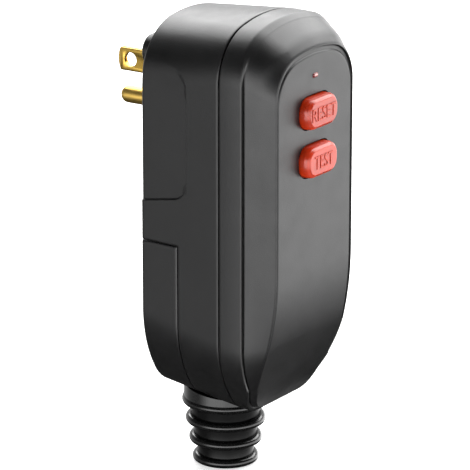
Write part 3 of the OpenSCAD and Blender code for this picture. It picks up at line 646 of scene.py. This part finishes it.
combine(shell, rod(0, -PIN_DROP, ROOT_Y, 1, PIN_NECK + SLOT), "DIFFERENCE")
finish_mesh(shell, housing_black)
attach(shell, "housing")
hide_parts("rear_shell")
print("rear shell:", len(shell.data.polygons), "faces")

# %% [markdown]
# The front cover has a straight band at the seam, a small step with a dark groove beside it, a flat sloped border, and
# a fine groove round the face. Over the top the step melts into the slope, so there are two profiles, one for the
# sides and one for the top. Towards the foot the face leans back along a large arc until it meets the band, so the
# border gets lower and narrower and is gone at the foot. A profile is a list of corners, each with its depth, inset and
# radius, and a helper rounds them.

# %% Front profile
FRONT_DEPTH, FACE_DEPTH, BAND, STEP, BORDER = 15.2, 15.0, 7.1, 1.4, 5.6
LEAN_R, LEAN_Z, LEAST_BORDER = 85.0, -49.8, 1.4
STEP_FALL, SLOPE_FALL, CORNER_LOSS, SWEEP_DROP, SKIN = 0.91, 1.82, 0.6, -0.11, 1.9


def rounded_path(corners, steps=5):
    """A path whose inner corners are rounded: each corner is depth, inset and radius."""
    out = [corners[0][:2]]
    for before, here, after in zip(corners, corners[1:], corners[2:]):
        p, a, b = (np.array(c[:2], float) for c in (here, before, after))
        u, v = (a - p) / np.linalg.norm(a - p), (b - p) / np.linalg.norm(b - p)
        if here[2] <= 0:
            out.append(tuple(p))
            continue
        reach = min(here[2], 0.45 * np.linalg.norm(a - p), 0.45 * np.linalg.norm(b - p))
        for t in np.linspace(0, 1, steps + 1):
            out.append(tuple((1 - t) ** 2 * (p + u * reach) + 2 * t * (1 - t) * p + t * t * (p + v * reach)))
    out.append(corners[-1][:2])
    return out


GROOVE = FACE_DEPTH - 0.45
rim = [(0.2, 0.3, 0), (0.5, 0.0, 0.3)]
groove = [(FRONT_DEPTH - 0.3, BORDER - 0.9, 0.5), (FRONT_DEPTH, BORDER - 0.5, 0.2), (GROOVE, BORDER - 0.4, 0.1),
          (GROOVE, BORDER + 0.15, 0.1), (FACE_DEPTH, BORDER + 0.4, 0.2), (FACE_DEPTH, BORDER + 0.9, 0)]
stepped = [(BAND, 0.1, 0.3), (BAND, 0.95, 0.1), (BAND - 0.6, 1.0, 0), (BAND - 0.6, STEP, 0),
           (BAND + 0.4, 1.5, 0.15), (11.2, 3.1, 2.0)]
melted = [(BAND - 0.8, 0.2, 0.8), (BAND, 0.72, 0.1), (BAND + 0.3, 0.92, 0), (BAND + 0.6, 1.11, 0),
          (BAND + 1.2, 1.5, 0.5), (13.0, 3.3, 2.0)]
side_profile, top_profile = rounded_path(rim + stepped + groove), rounded_path(rim + melted + groove)


def lean(z):
    """How far the face leans back at a height."""
    below = np.minimum(z - LEAN_Z, 0)
    return LEAN_R - np.sqrt(LEAN_R ** 2 - below ** 2)


def front_half(inset, foot, toe, depth=0.0):
    """The cover's outline, moved in; its top comes down faster beyond the step."""
    top = SEAM_TOP - STEP_FALL * min(inset, STEP) - SLOPE_FALL * max(inset - STEP, 0)
    return half_outline(SEAM_HALF - inset, top, foot, CROWN - inset, CORNER_SEAM - CORNER_LOSS * inset,
                        SWEEP_SEAM[0] - inset, SWEEP_SEAM[1] + SWEEP_DROP * depth, toe, spaced(-6.5, -67.5, 1.6))


def front_level(depth, inset):
    return front_half(inset, -SEAM_FOOT + inset, max(TOE - inset, LEAST_TOE), depth)


def front_ring(depth, inset):
    """One ring of the cover; below, its border gets lower with the leaning face and ends before the foot."""
    d = min(depth, BAND)
    base, moved = front_level(d, min(inset, STEP)), front_level(d, inset)
    thick = FACE_DEPTH - lean(base[:, 1])
    band = np.minimum(BAND, thick - LEAST_BORDER)
    left = (thick - band) / (FACE_DEPTH - BAND)
    kept = left ** 0.4 * step(base[:, 1], -91.0, -84.0)
    return closed(base + (moved - base) * kept[:, None], SEAM_Y - d * band / BAND - (depth - d) * left)


def cover_ring(at_side, at_top):
    """A ring that has one profile along the sides and another over the top."""
    side, top = front_ring(*at_side), front_ring(*at_top)
    return side + (top - side) * step(side[:, 2:], 1.0, 11.0)


def front_inner(depth, inset):
    """One ring of the cover's inside, which leans a little more than its outside."""
    half = front_half(inset, FLOOR_Z, INNER_TOE, min(depth, BAND))
    return closed(half, SEAM_Y - depth * (1 - 1.25 * lean(half[:, 1]) / FRONT_DEPTH))


rim_inside = front_half(WALL, FLOOR_Z, INNER_TOE)
inside = [closed(rim_inside, SEAM_Y - SEAL / 2), front_inner(BAND - 1.7, WALL + 0.3),
          front_inner(FACE_DEPTH - SKIN, BORDER + 0.8)]
front_rings = [cover_ring(*pair) for pair in zip(side_profile[::-1], top_profile[::-1])] + inside
front = loft("front_cover_moulding", front_rings, housing_black, 40)
print("front profile:", len(side_profile), "points;", len(front.data.polygons), "faces")

# %% Openings in the front
BUTTON_WIDE, BUTTON_HIGH, BUTTON_CORNER, BUTTON_GAP = 14.8, 8.6, 3.7, 0.4
FACE_Y = SEAM_Y - FACE_DEPTH
INNER_FACE = FACE_Y + SKIN
RESET_Z, TEST_Z = -7.6, -20.8
LENS_WIDE, LENS_HIGH, LENS_GAP = 2.7, 1.3, 0.1
button_hole = (BUTTON_WIDE + 2 * BUTTON_GAP, BUTTON_HIGH + 2 * BUTTON_GAP, BUTTON_CORNER + BUTTON_GAP)
lens_hole = (LENS_WIDE + LENS_GAP, LENS_HIGH + LENS_GAP, 0.7)
for hole, z in ((button_hole, RESET_Z), (button_hole, TEST_Z), (lens_hole, LED_Z)):
    combine(front, loft("cutter", [rounded_ring(*hole, y, z) for y in (-50, -39)], housing_black), "DIFFERENCE")
finish_mesh(front, housing_black, 40)
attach(front, "housing")
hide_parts("front_cover")
print("front cover:", len(front.data.polygons), "faces")

# %% [markdown]
# A button is a lofted cap with a broad flat bevel, on a hidden stop flange and stem. The words on it say what it
# does, as on any such device. They stand a little proud of the cap and ride with their button.

# %% Buttons
BUTTON_FRONT = FACE_Y - 2.9
BEVEL = rounded_path([(0, 1.6, 0), (0, 1.0, 0.14), (0.6, 0.3, 0.25), (1.6, 0.0, 0.35), (2.2, 0.0, 0)])
FLANGE, STEM_END, STEM_R = (0.08, 1.5), 3.8, 2
LETTER_RAISE, LETTER_SINK = 0.22, 0.05


def push_button(name, z, body):
    size = (BUTTON_WIDE, BUTTON_HIGH, BUTTON_CORNER)
    edge = [rounded_ring(*size, BUTTON_FRONT + depth, z, inset) for depth, inset in BEVEL]
    cap = loft(name, edge + [rounded_ring(*size, INNER_FACE + 0.5, z)], button_red)
    flange = [rounded_ring(BUTTON_WIDE + 2.6, BUTTON_HIGH + 2.2, 3, INNER_FACE + depth, z) for depth in FLANGE]
    combine(cap, loft("cutter", flange, button_red), "UNION")
    combine(cap, rod(0, z, INNER_FACE + FLANGE[1] - 0.1, INNER_FACE + STEM_END, STEM_R), "UNION")
    finish_mesh(cap, button_red)
    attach(cap, body)
    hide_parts(name.replace("_cap", ""))


def lettering(name, word, z, wide, high, body):
    """A raised word on a button, made a mesh before it is put in place."""
    curve = bpy.data.curves.new(name, "FONT")
    curve.body = word
    curve.align_x, curve.align_y = "CENTER", "CENTER"
    curve.extrude, curve.resolution_u, curve.offset = 0.02, 4, -0.004
    draft = new_object(name + "_draft", curve)
    mesh = applied(draft)
    bpy.data.objects.remove(draft)
    points = np.array([v.co for v in mesh.vertices])
    low, high_corner = points.min(0), points.max(0)
    points = (points - (low + high_corner) / 2) / (high_corner - low)
    front_y = BUTTON_FRONT + LETTER_SINK - LETTER_RAISE / 2 - points[:, 2] * LETTER_RAISE
    places = np.stack([points[:, 0] * wide, front_y, z + points[:, 1] * high], 1)
    mesh.vertices.foreach_set("co", (places * MM).ravel())
    word_piece = new_object(name, mesh)
    outward(mesh)
    finish_mesh(word_piece, letter_red, 40)
    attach(word_piece, body)


push_button("reset_button_cap", RESET_Z, "reset")
push_button("test_button_cap", TEST_Z, "test")
lettering("reset_lettering", "RESET", RESET_Z, 11.4, 3.6, "reset")
lettering("test_lettering", "TEST", TEST_Z, 8.8, 3.6, "test")
print("buttons at", RESET_Z, TEST_Z)

# %% [markdown]
# The lens is a small oval dome that stands just proud of the face, with a round flange and pipe hidden behind it.

# %% Lens
LENS_CORNER, PIPE_END = 0.64, -34.9
dome = [(FACE_Y - 0.3, 0.45), (FACE_Y - 0.22, 0.25), (FACE_Y - 0.1, 0.08), (FACE_Y + 0.05, 0.0),
        (INNER_FACE + 0.1, 0.0)]
dome_rings = [rounded_ring(LENS_WIDE, LENS_HIGH, LENS_CORNER, y, LED_Z, inset) for y, inset in dome]
lens = loft("indicator_lens_dome", dome_rings, lens_pink)
pipe = [(0, INNER_FACE), (1.9, INNER_FACE), (1.9, INNER_FACE + 1.2), (1, INNER_FACE + 1.2), (1, PIPE_END),
        (0, PIPE_END)]
combine(lens, lathe("cutter", pipe, lens_pink, (0, 0, LED_Z), steps=32), "UNION")
finish_mesh(lens, lens_pink)
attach(lens, "housing")
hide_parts("led_lens")
print("lens:", len(lens.data.polygons), "faces")

# %% [markdown]
# A flat blade is stamped: a plate with a bowed tip, a round hole, and a tip that is thinned so that it finds its slot.
# The outline is extruded, thinned beyond a straight line, and its edges are softened with a Bevel modifier. The earth
# pin is turned, with a round nose.

# %% Blades and pin
BLADE_LONG, HOLE_R, HOLE_Y, BOW, THINNED = 16.2, 2.0, 11.9, 1.1, 0.62
FLANGE_BACK, FLANGE_FRONT = -5.7, -4.2


def blade(name, x, node):
    tip = [(BLADE_LONG - BOW * t * t, t * BLADE_WIDE / 2) for t in np.linspace(-1, 1, 17)]
    outline = [(ROOT_Y, BLADE_WIDE / 2), (ROOT_Y, -BLADE_WIDE / 2)] + tip
    n = len(outline)
    points = [(x + s * BLADE_THICK / 2, y, z) for s in (-1, 1) for y, z in outline]
    faces = [tuple(range(n)), tuple(range(2 * n - 1, n - 1, -1))]
    faces += [(i, i + n, (i + 1) % n + n, (i + 1) % n) for i in range(n)]
    thing = solid(name, points, faces, blade_brass)
    work = bmesh.new()
    work.from_mesh(thing.data)
    bmesh.ops.bisect_plane(work, geom=work.verts[:] + work.edges[:] + work.faces[:], dist=1e-8,
                           plane_co=(0, (BLADE_LONG - BOW) * MM, 0), plane_no=(0, 1, 0))
    for v in work.verts:
        beyond = v.co.y - (BLADE_LONG - BOW) * MM
        if beyond > 1e-7:
            v.co.x = x * MM + (v.co.x - x * MM) * (1 - THINNED * beyond / (BOW * MM))
    work.to_mesh(thing.data)
    work.free()
    hole = lathe("cutter", [(0, -4), (HOLE_R, -4), (HOLE_R, 4), (0, 4)], blade_brass, steps=56)
    hole.data.transform(Matrix.Translation((x * MM, HOLE_Y * MM, 0)) @ Matrix.Rotation(math.pi / 2, 4, "Z"))
    combine(thing, hole, "DIFFERENCE")
    soften = thing.modifiers.new("soften", "BEVEL")
    soften.width, soften.segments = 0.16 * MM, 2
    soften.limit_method, soften.angle_limit = "ANGLE", math.radians(50)
    shape = applied(thing)
    thing.modifiers.clear()
    thing.data = shape
    combine(thing, box(x - 2.2, x + 2.2, FLANGE_BACK, FLANGE_FRONT, -5, 5), "UNION")
    finish_mesh(thing, blade_brass, 30)
    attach(thing, "housing")
    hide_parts(node)


blade("line_blade_stamped", BLADE_X, "line_blade")
blade("neutral_blade_stamped", -BLADE_X, "neutral_blade")

PIN_R, PIN_LONG, NOSE = 2.375, 19.6, 2.2
nose = [(PIN_R * math.cos(a), PIN_LONG - NOSE + NOSE * math.sin(a)) for a in np.radians(np.linspace(0, 90, 14))]
pin_profile = [(0, -7.5), (2.9, -7.5), (2.9, -6.5), (2, -6.5), (2, FLANGE_BACK), (4, FLANGE_BACK), (4, FLANGE_FRONT),
               (PIN_NECK, FLANGE_FRONT), (PIN_NECK, -0.1), (2.5, 0.0), (PIN_R, 0.0)] + nose
pin = lathe("earth_pin_turned", pin_profile, pin_brass, (0, 0, -PIN_DROP), steps=72)
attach(pin, "housing")
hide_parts("earth_pin")
print("earth pin:", len(pin.data.polygons), "faces")

# %% [markdown]
# The cord boot is moulded rubber: a collar that fits the sloped foot, then round ribs that get smaller, on a narrower
# core. The ribs repeat by a rule, so Geometry Nodes make them: one ring for each point of a line, scaled by its
# number. The rings are joined to the turned core afterwards.

# %% Rib tree
RIBS, RIB_PITCH, RIB_HALF, RIB_STEP = 4, 5.6, 1.25, 0.965


def new_tree(name, inputs):
    """An empty Geometry Nodes tree with named inputs."""
    group = bpy.data.node_groups.new(name, "GeometryNodeTree")
    group.interface.new_socket("Geometry", in_out="OUTPUT", socket_type="NodeSocketGeometry")
    for title, kind, value in inputs:
        socket = group.interface.new_socket(title, in_out="INPUT", socket_type=kind)
        socket.default_value = value
    tree = Tree(group)
    given = tree.add("NodeGroupInput").socket.node
    wires = {title: Wire(tree, given.outputs[title]) for title, _, _ in inputs}
    return tree, wires


def end_tree(tree, shape, material):
    """Gives a tree's shape its material and makes it the result."""
    dressed = tree.add("GeometryNodeSetMaterial", None, {"Geometry": shape, "Material": material})
    tree.feed(tree.tree.nodes.new("NodeGroupOutput").inputs["Geometry"], dressed)


def grow(name, tree, values, material):
    """Runs a tree on an empty mesh and keeps the result as a plain mesh."""
    thing = new_object(name, bpy.data.meshes.new(name))
    change = thing.modifiers.new("grow", "NODES")
    change.node_group = tree.tree
    for item in tree.tree.interface.items_tree:
        if item.in_out == "INPUT" and item.name in values:
            change[item.identifier] = values[item.name]
    shape = applied(thing)
    thing.modifiers.clear()
    thing.data = shape
    finish_mesh(thing, material, 40)
    return thing


rib_tree, rib = new_tree("ribs", [("Count", "NodeSocketInt", 4), ("Pitch", "NodeSocketFloat", 0.0056),
                                  ("First radius", "NodeSocketFloat", 0.01), ("Step", "NodeSocketFloat", 0.001),
                                  ("Thickness", "NodeSocketFloat", 0.00125)])
down = rib_tree.add("ShaderNodeCombineXYZ", None, {"Z": 0 - rib["Pitch"]})
line = rib_tree.add("GeometryNodeMeshLine", {"mode": "OFFSET"}, {"Count": rib["Count"], "Offset": down})
number = rib_tree.add("GeometryNodeInputIndex")
ring_path = rib_tree.add("GeometryNodeCurvePrimitiveCircle", None, {"Resolution": 120, "Radius": 1.0})
each = rib_tree.add("GeometryNodeInstanceOnPoints", None, {"Points": line, "Instance": ring_path})
radius = rib["First radius"] - rib["Thickness"] - number * rib["Step"]
scale = rib_tree.add("ShaderNodeCombineXYZ", None, {"X": radius, "Y": radius, "Z": 1.0})
sized = rib_tree.add("GeometryNodeScaleInstances", None, {"Instances": each, "Scale": scale})
paths = rib_tree.add("GeometryNodeRealizeInstances", None, {"Geometry": sized})
bead = rib_tree.add("GeometryNodeCurvePrimitiveCircle", None, {"Resolution": 28, "Radius": rib["Thickness"]})
rings = rib_tree.add("GeometryNodeCurveToMesh", None, {"Curve": paths, "Profile Curve": bead})
end_tree(rib_tree, rings, boot_rubber)
ribs = grow("boot_ribs", rib_tree, {"Count": RIBS, "Pitch": RIB_PITCH * MM, "First radius": RIB_FIRST * MM,
                                    "Step": RIB_STEP * MM, "Thickness": RIB_HALF * MM}, boot_rubber)
ribs.data.transform(Matrix.Translation((0, CORD_Y * MM, RIB_TOP * MM)))
print("ribs:", len(ribs.data.polygons), "faces")

# %% Boot core and collar
CORD_R, NECK_R = 4.5, 7
END = RIB_TOP - (RIBS - 1) * RIB_PITCH
core = rounded_path([(CORD_R, -84), (11.5, -84, 0), (11.6, RIB_TOP, 0.2),
                     (9.4, RIB_TOP - 0.9, 0.3), (9.4, RIB_TOP - 5.2, 0.3),
                     (8.6, RIB_TOP - 6.2, 0.3), (8.6, RIB_TOP - 10.8, 0.3),
                     (7.8, RIB_TOP - 11.8, 0.3), (7.8, END + 0.4, 0.2),
                     (7.4, END - 0.7, 0.4), (4.8, END - 0.7, 0.3), (CORD_R, END - 0.3)])
boot = lathe("cord_boot_ribbed", core, boot_rubber, (0, CORD_Y, 0), "Z", 120)
slope = math.atan((SEAM_FOOT - REAR_FOOT) / (REAR_Y - SEAM_Y))
above = box(-60, 60, -80, 80, 0, 60)
foot_place = Matrix.Translation((0, REAR_Y * MM, (-REAR_FOOT - 0.1) * MM))
above.data.transform(foot_place @ Matrix.Rotation(slope, 4, "X"))
combine(boot, above, "DIFFERENCE")
combine(boot, ribs, "UNION")
neck = [(CORD_R, -81.9), (8.8, -81.9), (8.8, FLOOR_Z), (NECK_R, FLOOR_Z), (NECK_R, -93), (CORD_R, -93)]
combine(boot, lathe("cutter", neck, boot_rubber, (0, CORD_Y, 0), "Z", 120), "UNION")
finish_mesh(boot, boot_rubber, 40)
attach(boot, "housing")
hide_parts("cord_boot")
print("boot:", len(boot.data.polygons), "faces")

# %% [markdown]
# The screws sit in the recesses of the rear face. One screw is turned, its cross is cut, and Geometry Nodes set it on
# a point for each hole.

# %% Screws
HEAD_HIGH, SCREW_END, THREAD_PITCH, THREAD_DEEP = 2.4, -37.5, 0.9, 0.25


def pan_screw(name):
    """A screw along Y through the origin of X and Z, with a crowned head and a cross."""
    root = SCREW_R - THREAD_DEEP
    crown = [(HEAD_R * math.cos(a), HEAD_SEAT + HEAD_HIGH * 0.55 + HEAD_HIGH * 0.45 * math.sin(a))
             for a in np.radians(np.linspace(0, 90, 8))]
    turns = int((HEAD_SEAT - SCREW_END - 2) / THREAD_PITCH)
    thread = [(r, HEAD_SEAT - 1 - THREAD_PITCH * k - d) for k in range(turns)
              for r, d in ((SCREW_R, 0.0), (SCREW_R, 0.25), (root, 0.5), (root, 0.7))]
    point = [(0, SCREW_END), (SCREW_R * 0.4, SCREW_END), (root, SCREW_END + 0.8)]
    profile = point + thread[::-1] + [(SCREW_R, HEAD_SEAT), (HEAD_R, HEAD_SEAT)] + crown
    screw = lathe(name, profile, screw_steel, steps=40)
    top = HEAD_SEAT + HEAD_HIGH
    narrow, long = HEAD_R * 0.14, HEAD_R * 0.62
    for a, b in ((narrow, long), (long, narrow)):
        combine(screw, box(-a, a, top - 1.1, top + 1, -b, b), "DIFFERENCE")
    finish_mesh(screw, screw_steel)
    return screw


screw_tree, given = new_tree("screws", [("Screw", "NodeSocketObject", None), ("Across", "NodeSocketFloat", 0.029),
                                        ("Down", "NodeSocketFloat", 0.041), ("Rows", "NodeSocketInt", 2)])
flat = screw_tree.add("GeometryNodeMeshGrid", None, {"Size X": given["Across"], "Size Y": given["Down"],
                                                     "Vertices X": 2, "Vertices Y": given["Rows"]})
upright = screw_tree.add("GeometryNodeTransform", None, {"Geometry": flat, "Rotation": (math.pi / 2, 0, 0)})
model = screw_tree.add("GeometryNodeObjectInfo", None, {"Object": given["Screw"]}, out="Geometry")
placed = screw_tree.add("GeometryNodeInstanceOnPoints", None, {"Points": upright, "Instance": model})
whole = screw_tree.add("GeometryNodeRealizeInstances", None, {"Geometry": placed})
end_tree(screw_tree, whole, screw_steel)


def screw_set(name, spots, node):
    """A screw in each of the given places, which form one row or two."""
    xs, zs = [s[0] for s in spots], [s[1] for s in spots]
    across, down = max(xs) - min(xs), max(zs) - min(zs)
    one = pan_screw("one_screw")
    thing = grow(name, screw_tree, {"Screw": one, "Across": across * MM, "Down": down * MM,
                                    "Rows": 2 if down > 0 else 1}, screw_steel)
    thing.data.transform(Matrix.Translation((0, 0, (max(zs) + min(zs)) / 2 * MM)))
    bpy.data.objects.remove(one)
    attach(thing, "housing")
    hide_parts(node)
    print(name, len(thing.data.polygons), "faces")


screw_set("housing_screw_set", SCREW_SPOTS, "housing_screws")
screw_set("cover_screw_set", COVER_SPOTS, "cover_screws")

# %% [markdown]
# The three springs give way when a button is pressed or the contacts close. Geometry Nodes sweep a wire along a
# spiral, and each coil is then stood on its foot and turned into place on the housing.

# %% Springs
coil_tree, coil = new_tree("coils", [("Turns", "NodeSocketFloat", 4.0), ("Radius", "NodeSocketFloat", 0.005),
                                     ("Length", "NodeSocketFloat", 0.009), ("Wire", "NodeSocketFloat", 0.0003)])
spiral = coil_tree.add("GeometryNodeCurveSpiral", None, {
    "Resolution": 32, "Rotations": coil["Turns"], "Start Radius": coil["Radius"], "End Radius": coil["Radius"],
    "Height": coil["Length"] - coil["Wire"] * 2.3})
wire = coil_tree.add("GeometryNodeCurvePrimitiveCircle", None, {"Resolution": 12, "Radius": coil["Wire"]})
wound = coil_tree.add("GeometryNodeCurveToMesh", None, {"Curve": spiral, "Profile Curve": wire, "Fill Caps": True})
end_tree(coil_tree, wound, spring_steel)


def spring(name, node, foot, turn, sizes):
    """A coil that stands on its foot and is turned about X."""
    radius, thickness, turns, length = sizes
    thing = grow(name, coil_tree, {"Turns": turns, "Radius": radius * MM, "Length": length * MM,
                                   "Wire": thickness * MM}, spring_steel)
    rise = Matrix.Translation((0, 0, thickness * 1.15 * MM))
    thing.data.transform(Matrix.Translation(Vector(foot) * MM) @ Matrix.Rotation(turn, 4, "X") @ rise)
    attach(thing, "housing")
    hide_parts(node)
    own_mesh(thing)
    print(name, len(thing.data.polygons), "faces")


BUTTON_COIL, RETURN_COIL = (4.9, 0.3, 4.0, 9.0), (1.5, 0.22, 5.0, 7.9)
BOARD_FRONT, RETURN_Y, TRAVEL, ARM_DROP = -30.6, -14.2, 1.5, 1.6
spring("reset_coil", "reset_spring", (0, BOARD_FRONT, RESET_Z), math.pi / 2, BUTTON_COIL)
spring("test_coil", "test_spring", (0, BOARD_FRONT, TEST_Z), math.pi / 2, BUTTON_COIL)
spring("return_coil", "return_spring", (0, RETURN_Y, 0), 0, RETURN_COIL)

# %% [markdown]
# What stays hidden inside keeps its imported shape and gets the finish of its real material: cream insulators, a green
# board, plated iron, copper and brass.

# %% Inner finishes
cream = moulded("insulator", (0.68, 0.62, 0.5), 0.5)
dark = moulded("component case", (0.03, 0.03, 0.032), 0.45)
white = moulded("plunger", (0.75, 0.75, 0.72), 0.45)
tan = moulded("resistor body", (0.55, 0.4, 0.22), 0.45)
blue = moulded("disc body", (0.05, 0.13, 0.4), 0.4)
red = moulded("film body", (0.45, 0.1, 0.05), 0.35)
sleeve = moulded("can sleeve", (0.03, 0.05, 0.14), 0.3)
board = moulded("board", (0.03, 0.16, 0.08), 0.35)
white_wire = moulded("white wire", (0.75, 0.75, 0.72), 0.5)
inner = {
    cream: ["blade_retainer", "core_case", "core_lid", "relay_bobbin"],
    dark: ["cord_clamp", "contact_carrier", "reset_switch", "test_switch", "controller_chip", "rectifier", "thyristor"],
    white: ["reset_plunger", "test_plunger"],
    tan: ["resistors"], blue: ["varistor"], red: ["film_capacitor"], sleeve: ["electrolytic_capacitor"],
    board: ["circuit_board"], white_wire: ["neutral_conductor"], seal_rubber: ["seam_gasket", "line_conductor"],
    iron: ["relay_yoke", "relay_core", "armature", "sense_core", "neutral_core"],
    copper: ["relay_coil", "line_lead", "neutral_lead"], green_screw: ["earth_screw"],
    inner_brass: ["earth_strap", "line_terminal", "line_screw", "moving_contacts", "line_contact", "neutral_contact"],
    screw_steel: ["clamp_screws", "neutral_screw", "neutral_terminal"],
    lens_pink: ["indicator_led"],
}
for material, names in inner.items():
    for name in names:
        slots = nodes[name].data.materials
        slots.clear()
        slots.append(material)
print("packed pieces with a new finish:", sum(len(v) for v in inner.values()))
